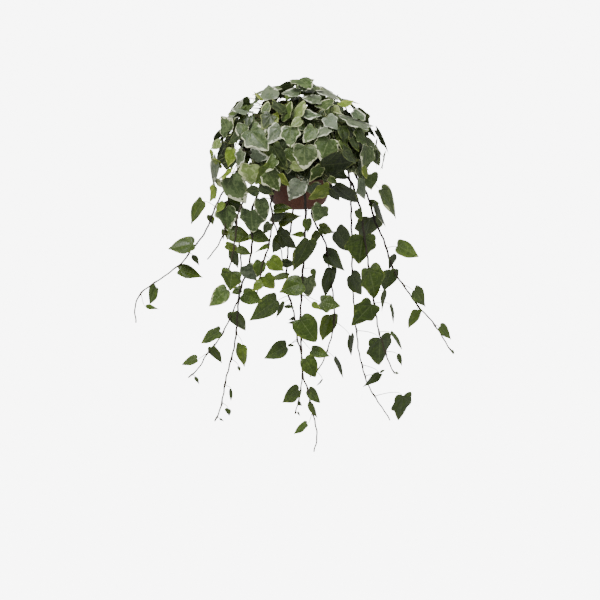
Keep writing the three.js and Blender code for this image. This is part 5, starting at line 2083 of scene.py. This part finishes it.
    def source_mesh(self, plant: Plant, lines: list[tuple]) -> bpy.types.Mesh:
        """Gathers a plant's lines and blade places in one mesh of edges and points.

        Args:
            plant: The plant.
            lines: Each line's part, points, radii and ages.

        Returns:
            The mesh with all that the tree reads.
        """
        points, edges = [], []
        part, thickness, age = [], [], []
        for kind, line, radii, ages in lines:
            first = len(points)
            points += list(line)
            edges += [(first + i, first + i + 1) for i in range(len(line) - 1)]
            part += [kind] * len(line)
            thickness += list(radii * METRES)
            age += list(ages)
        bare, blades = len(points), [blade for blade, _ in plant.leaves]
        points += [blade.base for blade in blades]
        mesh = plain_mesh(plant.name + "_lines", np.array(points), [], edges)
        store(mesh, "part", "INT", part + [2] * len(blades))
        store(mesh, "thickness", "FLOAT", thickness + [0] * len(blades))
        store(mesh, "age", "FLOAT", age + [1] * len(blades))
        turns = [Matrix(np.stack([b.side, b.along, b.normal], axis=1).tolist()).to_quaternion()
                 for b in blades]
        store(mesh, "turn", "QUATERNION", [(1, 0, 0, 0)] * bare + [tuple(q) for q in turns])
        sizes = [np.array([b.width, b.length, math.sqrt(b.width * b.length)]) * METRES
                 for b in blades]
        store(mesh, "size", "FLOAT_VECTOR", [(1, 1, 1)] * bare + sizes)
        kinds = [self.rng.choice(self.masters.indices[b.form]) for b in blades]
        store(mesh, "kind", "INT", [0] * bare + kinds)
        colours = [self.leaf_colours(b.tone) for b in blades]
        for column, name in enumerate(("ground", "patch", "margin")):
            store(mesh, name, "FLOAT_COLOR",
                  [(0, 0, 0, 1)] * bare + [row[column] for row in colours])
        store(mesh, "traits", "FLOAT_VECTOR", [(0, 0, 0)] * bare + [row[3] for row in colours])
        return mesh

    def leaf_colours(self, tone: Tone) -> tuple:
        """Draws a blade's own colours, a little off those of its tone.

        Args:
            tone: The tone.

        Returns:
            Its ground, patch and margin, and its traits: margin width, patch share and a spare
            number.
        """
        colours = LEAF_COLOURS[tone]
        value = 1 + self.rng.uniform(-1, 1) * self.colour_jitter * 1.6
        tints = 1 + self.rng.uniform(-1, 1, 3) * self.colour_jitter * 0.6
        ground, patch = ((*(np.array(c) * value * tints), 1.0)
                         for c in (colours.ground, colours.patch))
        margin = (*(np.array(colours.margin) * (0.5 + 0.5 * value)), 1.0)
        width = colours.margin_width * self.rng.uniform(0.5, 1.5)
        share = colours.patch_share * self.rng.uniform(0.6, 1.4)
        return ground, patch, margin, (width, share, self.rng.uniform())

    def clear_away(self) -> None:
        """Removes the blades that the leaves were grown from."""
        for master in list(self.shelf.objects):
            bpy.data.objects.remove(master)
        bpy.data.collections.remove(self.shelf)


def rounded_profile(corners: Sequence[tuple[float, float, float]], steps: int = 5) -> Point:
    """Rounds the corners of an open profile.

    Args:
        corners: Radius from the axis, height and rounding of each corner.
        steps: How many steps a rounding has.

    Returns:
        The profile's points.
    """
    spots = np.array(corners)[:, :2]
    points = []
    for k, (x, z, rounding) in enumerate(corners):
        here = np.array([x, z])
        if rounding == 0 or k in (0, len(corners) - 1):
            points.append(here)
            continue
        back, ahead = spots[k - 1] - here, spots[k + 1] - here
        reach = min(rounding, np.linalg.norm(back) * 0.49, np.linalg.norm(ahead) * 0.49)
        first, last = here + unit(back) * reach, here + unit(ahead) * reach
        points += [(1 - t) ** 2 * first + 2 * (1 - t) * t * here + t**2 * last
                   for t in np.linspace(0, 1, steps + 1)]
    return np.array(points)


def turned_mesh(name: str, profile: Point, sides: int,
                lift: Callable[[Point], Point] | None = None) -> bpy.types.Mesh:
    """Turns a profile that starts and ends on the axis into a closed mesh.

    Args:
        name: The mesh's name.
        profile: Rows of radius and height, the outer wall running upwards.
        sides: How many sides the turned shape has.
        lift: Moves the points, where the shape is uneven.

    Returns:
        The mesh, its faces pointing outwards.
    """
    turns = np.linspace(0, 2 * math.pi, sides, endpoint=False)
    rings = profile[1:-1]
    body = np.array([[r * math.cos(a), r * math.sin(a), z] for r, z in rings for a in turns])
    points = np.vstack([[(0, 0, profile[0][1])], body, [(0, 0, profile[-1][1])]])
    if lift is not None:
        points = lift(points)
    top = len(points) - 1
    faces = []
    for i in range(sides):
        j = (i + 1) % sides
        faces.append((0, 1 + j, 1 + i))
        for ring in range(len(rings) - 1):
            low, high = 1 + ring * sides, 1 + (ring + 1) * sides
            faces.append((low + i, low + j, high + j, high + i))
        last = 1 + (len(rings) - 1) * sides
        faces.append((last + i, last + j, top))
    return plain_mesh(name, points, faces)


@dataclass
class Pot:
    """The tapered pot, in millimetres: rolled rim, thin wall, foot ring and drain holes."""

    rim_radius: float = 75.0
    rim_top: float = 5.0
    wall_top: float = 71.0
    wall_bottom: float = 47.0
    bottom: float = -70.0
    wall: float = 2.2
    floor: float = 3.0
    rounding: float = 7.0
    foot_radius: float = 40.0
    foot_width: float = 5.0
    foot_recess: float = 2.0
    drains: int = 6
    drain_radius: float = 4.5
    drain_circle: float = 24.0
    sides: int = 96

    def profile(self) -> Point:
        """Draws the half section.

        Returns:
            Its points, from the underside's middle round to the floor's.
        """
        slope = (self.wall_top - self.wall_bottom) / -self.bottom
        inside = self.wall_top - self.wall
        recess, floor = self.bottom + self.foot_recess, self.bottom + self.foot_recess + self.floor
        turn = self.wall_bottom + slope * self.rounding
        return rounded_profile((
            (0, recess, 0), (self.foot_radius - self.foot_width, recess, 0.8),
            (self.foot_radius - self.foot_width + 0.6, self.bottom, 0.5),
            (self.foot_radius, self.bottom, 0.5),
            (self.wall_bottom - 0.3 * self.rounding, self.bottom + 0.3 * self.rounding, 2),
            (turn, self.bottom + self.rounding, 2), (self.wall_top, 0, 1.2),
            (self.rim_radius, 0, 1.4), (self.rim_radius, self.rim_top, 1.9),
            (inside, self.rim_top, 1.6), (inside, 0, 1),
            (turn - self.wall, floor + 4, 2), (self.wall_bottom - self.wall - 4, floor, 2),
            (0, floor, 0)))

    def drain_cutter(self) -> bpy.types.Object:
        """Makes the rods that cut the drain holes.

        Returns:
            One object of all the rods.
        """
        points, faces, sides = [], [], 20
        low, high = self.bottom - 4, self.bottom + self.foot_recess + self.floor + 4
        for k in range(self.drains):
            middle, first = around(360 * k / self.drains, self.drain_circle, 0), len(points)
            ring = [middle + around(360 * i / sides, self.drain_radius, 0) for i in range(sides)]
            points += [p + (0, 0, z) for z in (low, high) for p in ring]
            bottom, top = range(first, first + sides), range(first + sides, first + 2 * sides)
            faces += [tuple(reversed(bottom)), tuple(top)]
            faces += [(bottom[i], bottom[(i + 1) % sides], top[(i + 1) % sides], top[i])
                      for i in range(sides)]
        return placed_piece("drain_cutter", plain_mesh("drain_cutter", np.array(points), faces))

    def build(self) -> bpy.types.Object:
        """Makes the pot, cuts its drain holes and dresses it.

        Returns:
            The finished piece.
        """
        pot = placed_piece("ivy_pot", turned_mesh("ivy_pot", self.profile(), self.sides))
        cutter = self.drain_cutter()
        cut = pot.modifiers.new("drain holes", "BOOLEAN")
        cut.object, cut.solver = cutter, "EXACT"
        settled_piece(pot)
        bpy.data.objects.remove(cutter)
        pot.data.materials.clear()
        pot.data.materials.append(POT_FINISH.material())
        pot.data.shade_smooth()
        pot.data.set_sharp_from_angle(angle=math.radians(50))
        belong(pot, "pot")
        return pot


@dataclass
class Soil:
    """The potting soil, in millimetres: a heap with an uneven top under loose crumbs."""

    top: float = 2.0
    crowning: float = 3.0
    clearance: float = 0.42
    lumpiness: float = 1.3
    sides: int = 72
    crumb_size: float = 1.5
    crumb_density: float = 42000.0
    crumb_least: tuple[float, float, float] = (0.35, 0.35, 0.25)
    crumb_most: tuple[float, float, float] = (1.4, 1.0, 0.8)
    crumb_turn: tuple[float, float, float] = (6.28, 6.28, 6.28)
    seed: int = 5
    pot: Pot = field(default_factory=Pot)

    def inner(self, height: float) -> float:
        """Fits the soil in the pot.

        Args:
            height: A height.

        Returns:
            The soil's radius there.
        """
        slope = (self.pot.wall_top - self.pot.wall_bottom) / -self.pot.bottom
        outer = self.pot.wall_bottom + slope * (height - self.pot.bottom)
        return outer - self.pot.wall - self.clearance

    def profile(self) -> Point:
        """Draws the half section.

        Returns:
            Its points: floor, wall, then many rings over the top.
        """
        pot = self.pot
        floor = pot.bottom + pot.foot_recess + pot.floor + 0.3
        rim = self.inner(0)
        heap = [(rim * (1 - t), self.top + self.crowning * t) for t in np.linspace(0, 1, 14)]
        return np.array([(0, floor), (self.inner(pot.bottom) - 4, floor),
                         (self.inner(pot.bottom + pot.rounding), floor + 4), (rim, 0), *heap])

    def lumps(self, points: Point) -> Point:
        """Moves the points of the top up and down.

        Args:
            points: All points of the heap.

        Returns:
            The same points, moved.
        """
        x, y, z = points.T
        rise = sum(np.sin(x * f + p) * np.cos(y * f * 1.13 + q)
                   for f, p, q in ((0.11, 0.4, 1.9), (0.23, 2.2, 0.7), (0.47, 1.1, 2.8)))
        points[:, 2] += np.where(z >= self.top, rise / 3 * self.lumpiness, 0)
        return points

    def crumb_tree(self) -> Tree:
        """Builds the tree that scatters crumbs over the top.

        Returns:
            The tree.
        """
        tree = Tree("Soil crumbs", {"Density": "NodeSocketFloat", "Crumb size": "NodeSocketFloat",
                                    "Seed": "NodeSocketInt", "Soil finish": "NodeSocketMaterial"})
        wiring = tree.wiring
        facing = wiring.node("ShaderNodeSeparateXYZ", {
            0: wiring.node("GeometryNodeInputNormal").outputs[0]}).outputs[2]
        place = wiring.node("ShaderNodeSeparateXYZ", {
            0: wiring.node("GeometryNodeInputPosition").outputs[0]}).outputs[2]
        upper = wiring.maths("MULTIPLY", wiring.maths("GREATER_THAN", facing, 0.5),
                             wiring.maths("GREATER_THAN", place, 0.0))
        spots = wiring.node("GeometryNodeDistributePointsOnFaces", {
            "Mesh": tree.value("Geometry"), "Selection": upper,
            "Density": tree.value("Density"), "Seed": tree.value("Seed")})
        clod = wiring.node("GeometryNodeMeshIcoSphere", {
            "Radius": tree.value("Crumb size"), "Subdivisions": 1})
        size = wiring.node("FunctionNodeRandomValue", {
            0: self.crumb_least, 1: self.crumb_most, "Seed": tree.value("Seed")},
            data_type="FLOAT_VECTOR")
        turn = wiring.node("FunctionNodeRandomValue", {
            0: (0.0, 0.0, 0.0), 1: self.crumb_turn, "Seed": tree.value("Seed")},
            data_type="FLOAT_VECTOR")
        crumbs = wiring.node("GeometryNodeInstanceOnPoints", {
            "Points": spots.outputs[0], "Instance": clod.outputs[0],
            "Rotation": turn.outputs[0], "Scale": size.outputs[0]})
        join = wiring.node("GeometryNodeJoinGeometry")
        wiring.feed(join.inputs[0], crumbs.outputs[0])
        wiring.feed(join.inputs[0], tree.value("Geometry"))
        tree.finish(join.outputs[0], ((None, "Soil finish"),))
        return tree

    def build(self) -> bpy.types.Object:
        """Makes the heap, scatters its crumbs and dresses it.

        Returns:
            The finished piece.
        """
        heap = turned_mesh("ivy_soil", self.profile(), self.sides, self.lumps)
        heap.shade_smooth()
        soil = placed_piece("ivy_soil", heap)
        self.crumb_tree().grow(soil, {
            "Density": self.crumb_density, "Crumb size": self.crumb_size * METRES,
            "Seed": self.seed, "Soil finish": SOIL_FINISH.material()})
        belong(soil, "potting_soil")
        return soil


@dataclass
class SoftLight:
    """A soft lamp: a large disc in metres and watts, or an even light from afar."""

    name: str
    place: tuple[float, float, float]
    spread: float
    power: float
    kind: str = "AREA"

    def build(self) -> bpy.types.Object:
        """Hangs the lamp, turned to the plant.

        Returns:
            The lamp's object.
        """
        lamp = bpy.data.lights.new(self.name, self.kind)
        lamp.energy = self.power
        if self.kind == "AREA":
            lamp.shape, lamp.size = "DISK", self.spread
        else:
            lamp.angle = math.radians(self.spread)
        light = bpy.data.objects.new(self.name, lamp)
        light.location = self.place
        light.rotation_euler = light.location.to_track_quat("Z", "Y").to_euler()
        bpy.context.collection.objects.link(light)
        return light


@dataclass
class Studio:
    """A pale floor, far below the plant, with a wall of the same finish far off, and soft light."""

    floor_height: float = -1.5
    floor_radius: float = 16.0
    wall_height: float = 14.0
    sides: int = 96
    sky: Colour = (1.0, 1.0, 1.0)
    sky_strength: float = 0.45
    lamps: tuple[SoftLight, ...] = (
        SoftLight("overhead_light", (-0.5, -0.8, 2.2), 24, 3.4, "SUN"),
        SoftLight("front_softbox", (-1.5, -2.6, 1.9), 1.2, 26),
        SoftLight("right_softbox", (2.4, -1.2, 1.4), 1.4, 12),
    )

    def backdrop(self, name: str, spots: np.ndarray,
                 faces: list[tuple[int, ...]]) -> bpy.types.Object:
        """Makes one glowing surface that lights nothing.

        Args:
            name: The object's name.
            spots: Its corners, in metres.
            faces: Its faces, as corner numbers.

        Returns:
            The object, kept apart from the plant and hidden from diffuse and glossy rays.
        """
        mesh = plain_mesh(name, spots / METRES, faces)
        mesh.materials.append(FLOOR_FINISH.material())
        surface = placed_piece(name, mesh)
        surface.visible_diffuse = surface.visible_glossy = False
        return surface

    def build(self) -> None:
        """Lays the floor, hangs the lamps and lights the sky."""
        turns = np.linspace(0, 2 * math.pi, self.sides, endpoint=False)
        low = np.stack([np.cos(turns), np.sin(turns), 0 * turns], axis=1) * self.floor_radius
        low[:, 2] = self.floor_height
        high = low + (0, 0, self.wall_height)
        walls = [(i, (i + 1) % self.sides, (i + 1) % self.sides + self.sides, i + self.sides)
                 for i in range(self.sides)]
        self.backdrop("studio_floor", low, [tuple(range(self.sides))])
        wall = self.backdrop("studio_wall", np.concatenate([low, high]), walls)
        wall.visible_shadow = False
        for lamp in self.lamps:
            lamp.build()
        world = bpy.data.worlds.new("studio_sky")
        world.use_nodes = True
        wiring = Wiring(world.node_tree)
        sky = wiring.node("ShaderNodeBackground", {"Color": (*self.sky, 1),
                                                   "Strength": self.sky_strength})
        wiring.node("ShaderNodeOutputWorld", {"Surface": sky.outputs[0]})
        bpy.context.scene.world = world


def main() -> None:
    """Builds the plant in its pot and the studio around it."""
    logging.basicConfig(level=logging.INFO, format="%(name)s %(message)s")
    VIEW.camera()
    Studio().build()
    Pot().build()
    Soil().build()
    ivy = Ivy()
    filled = ivy.thicken()
    LOG.info("%d inner leaves", filled)
    LOG.info("%d plants, %d leaves, %d without room", len(ivy.plants),
             sum(len(plant.leaves) for plant in ivy.plants), ivy.stuck)
    grower = PlantGrower()
    grower.prepare()
    for vine in ivy.vines:
        grower.piece(vine, "trailing_foliage")
    for shoot, _ in ivy.crown:
        grower.piece(shoot, "crown_foliage")
    grower.clear_away()


if __name__ == "__main__":
    main()
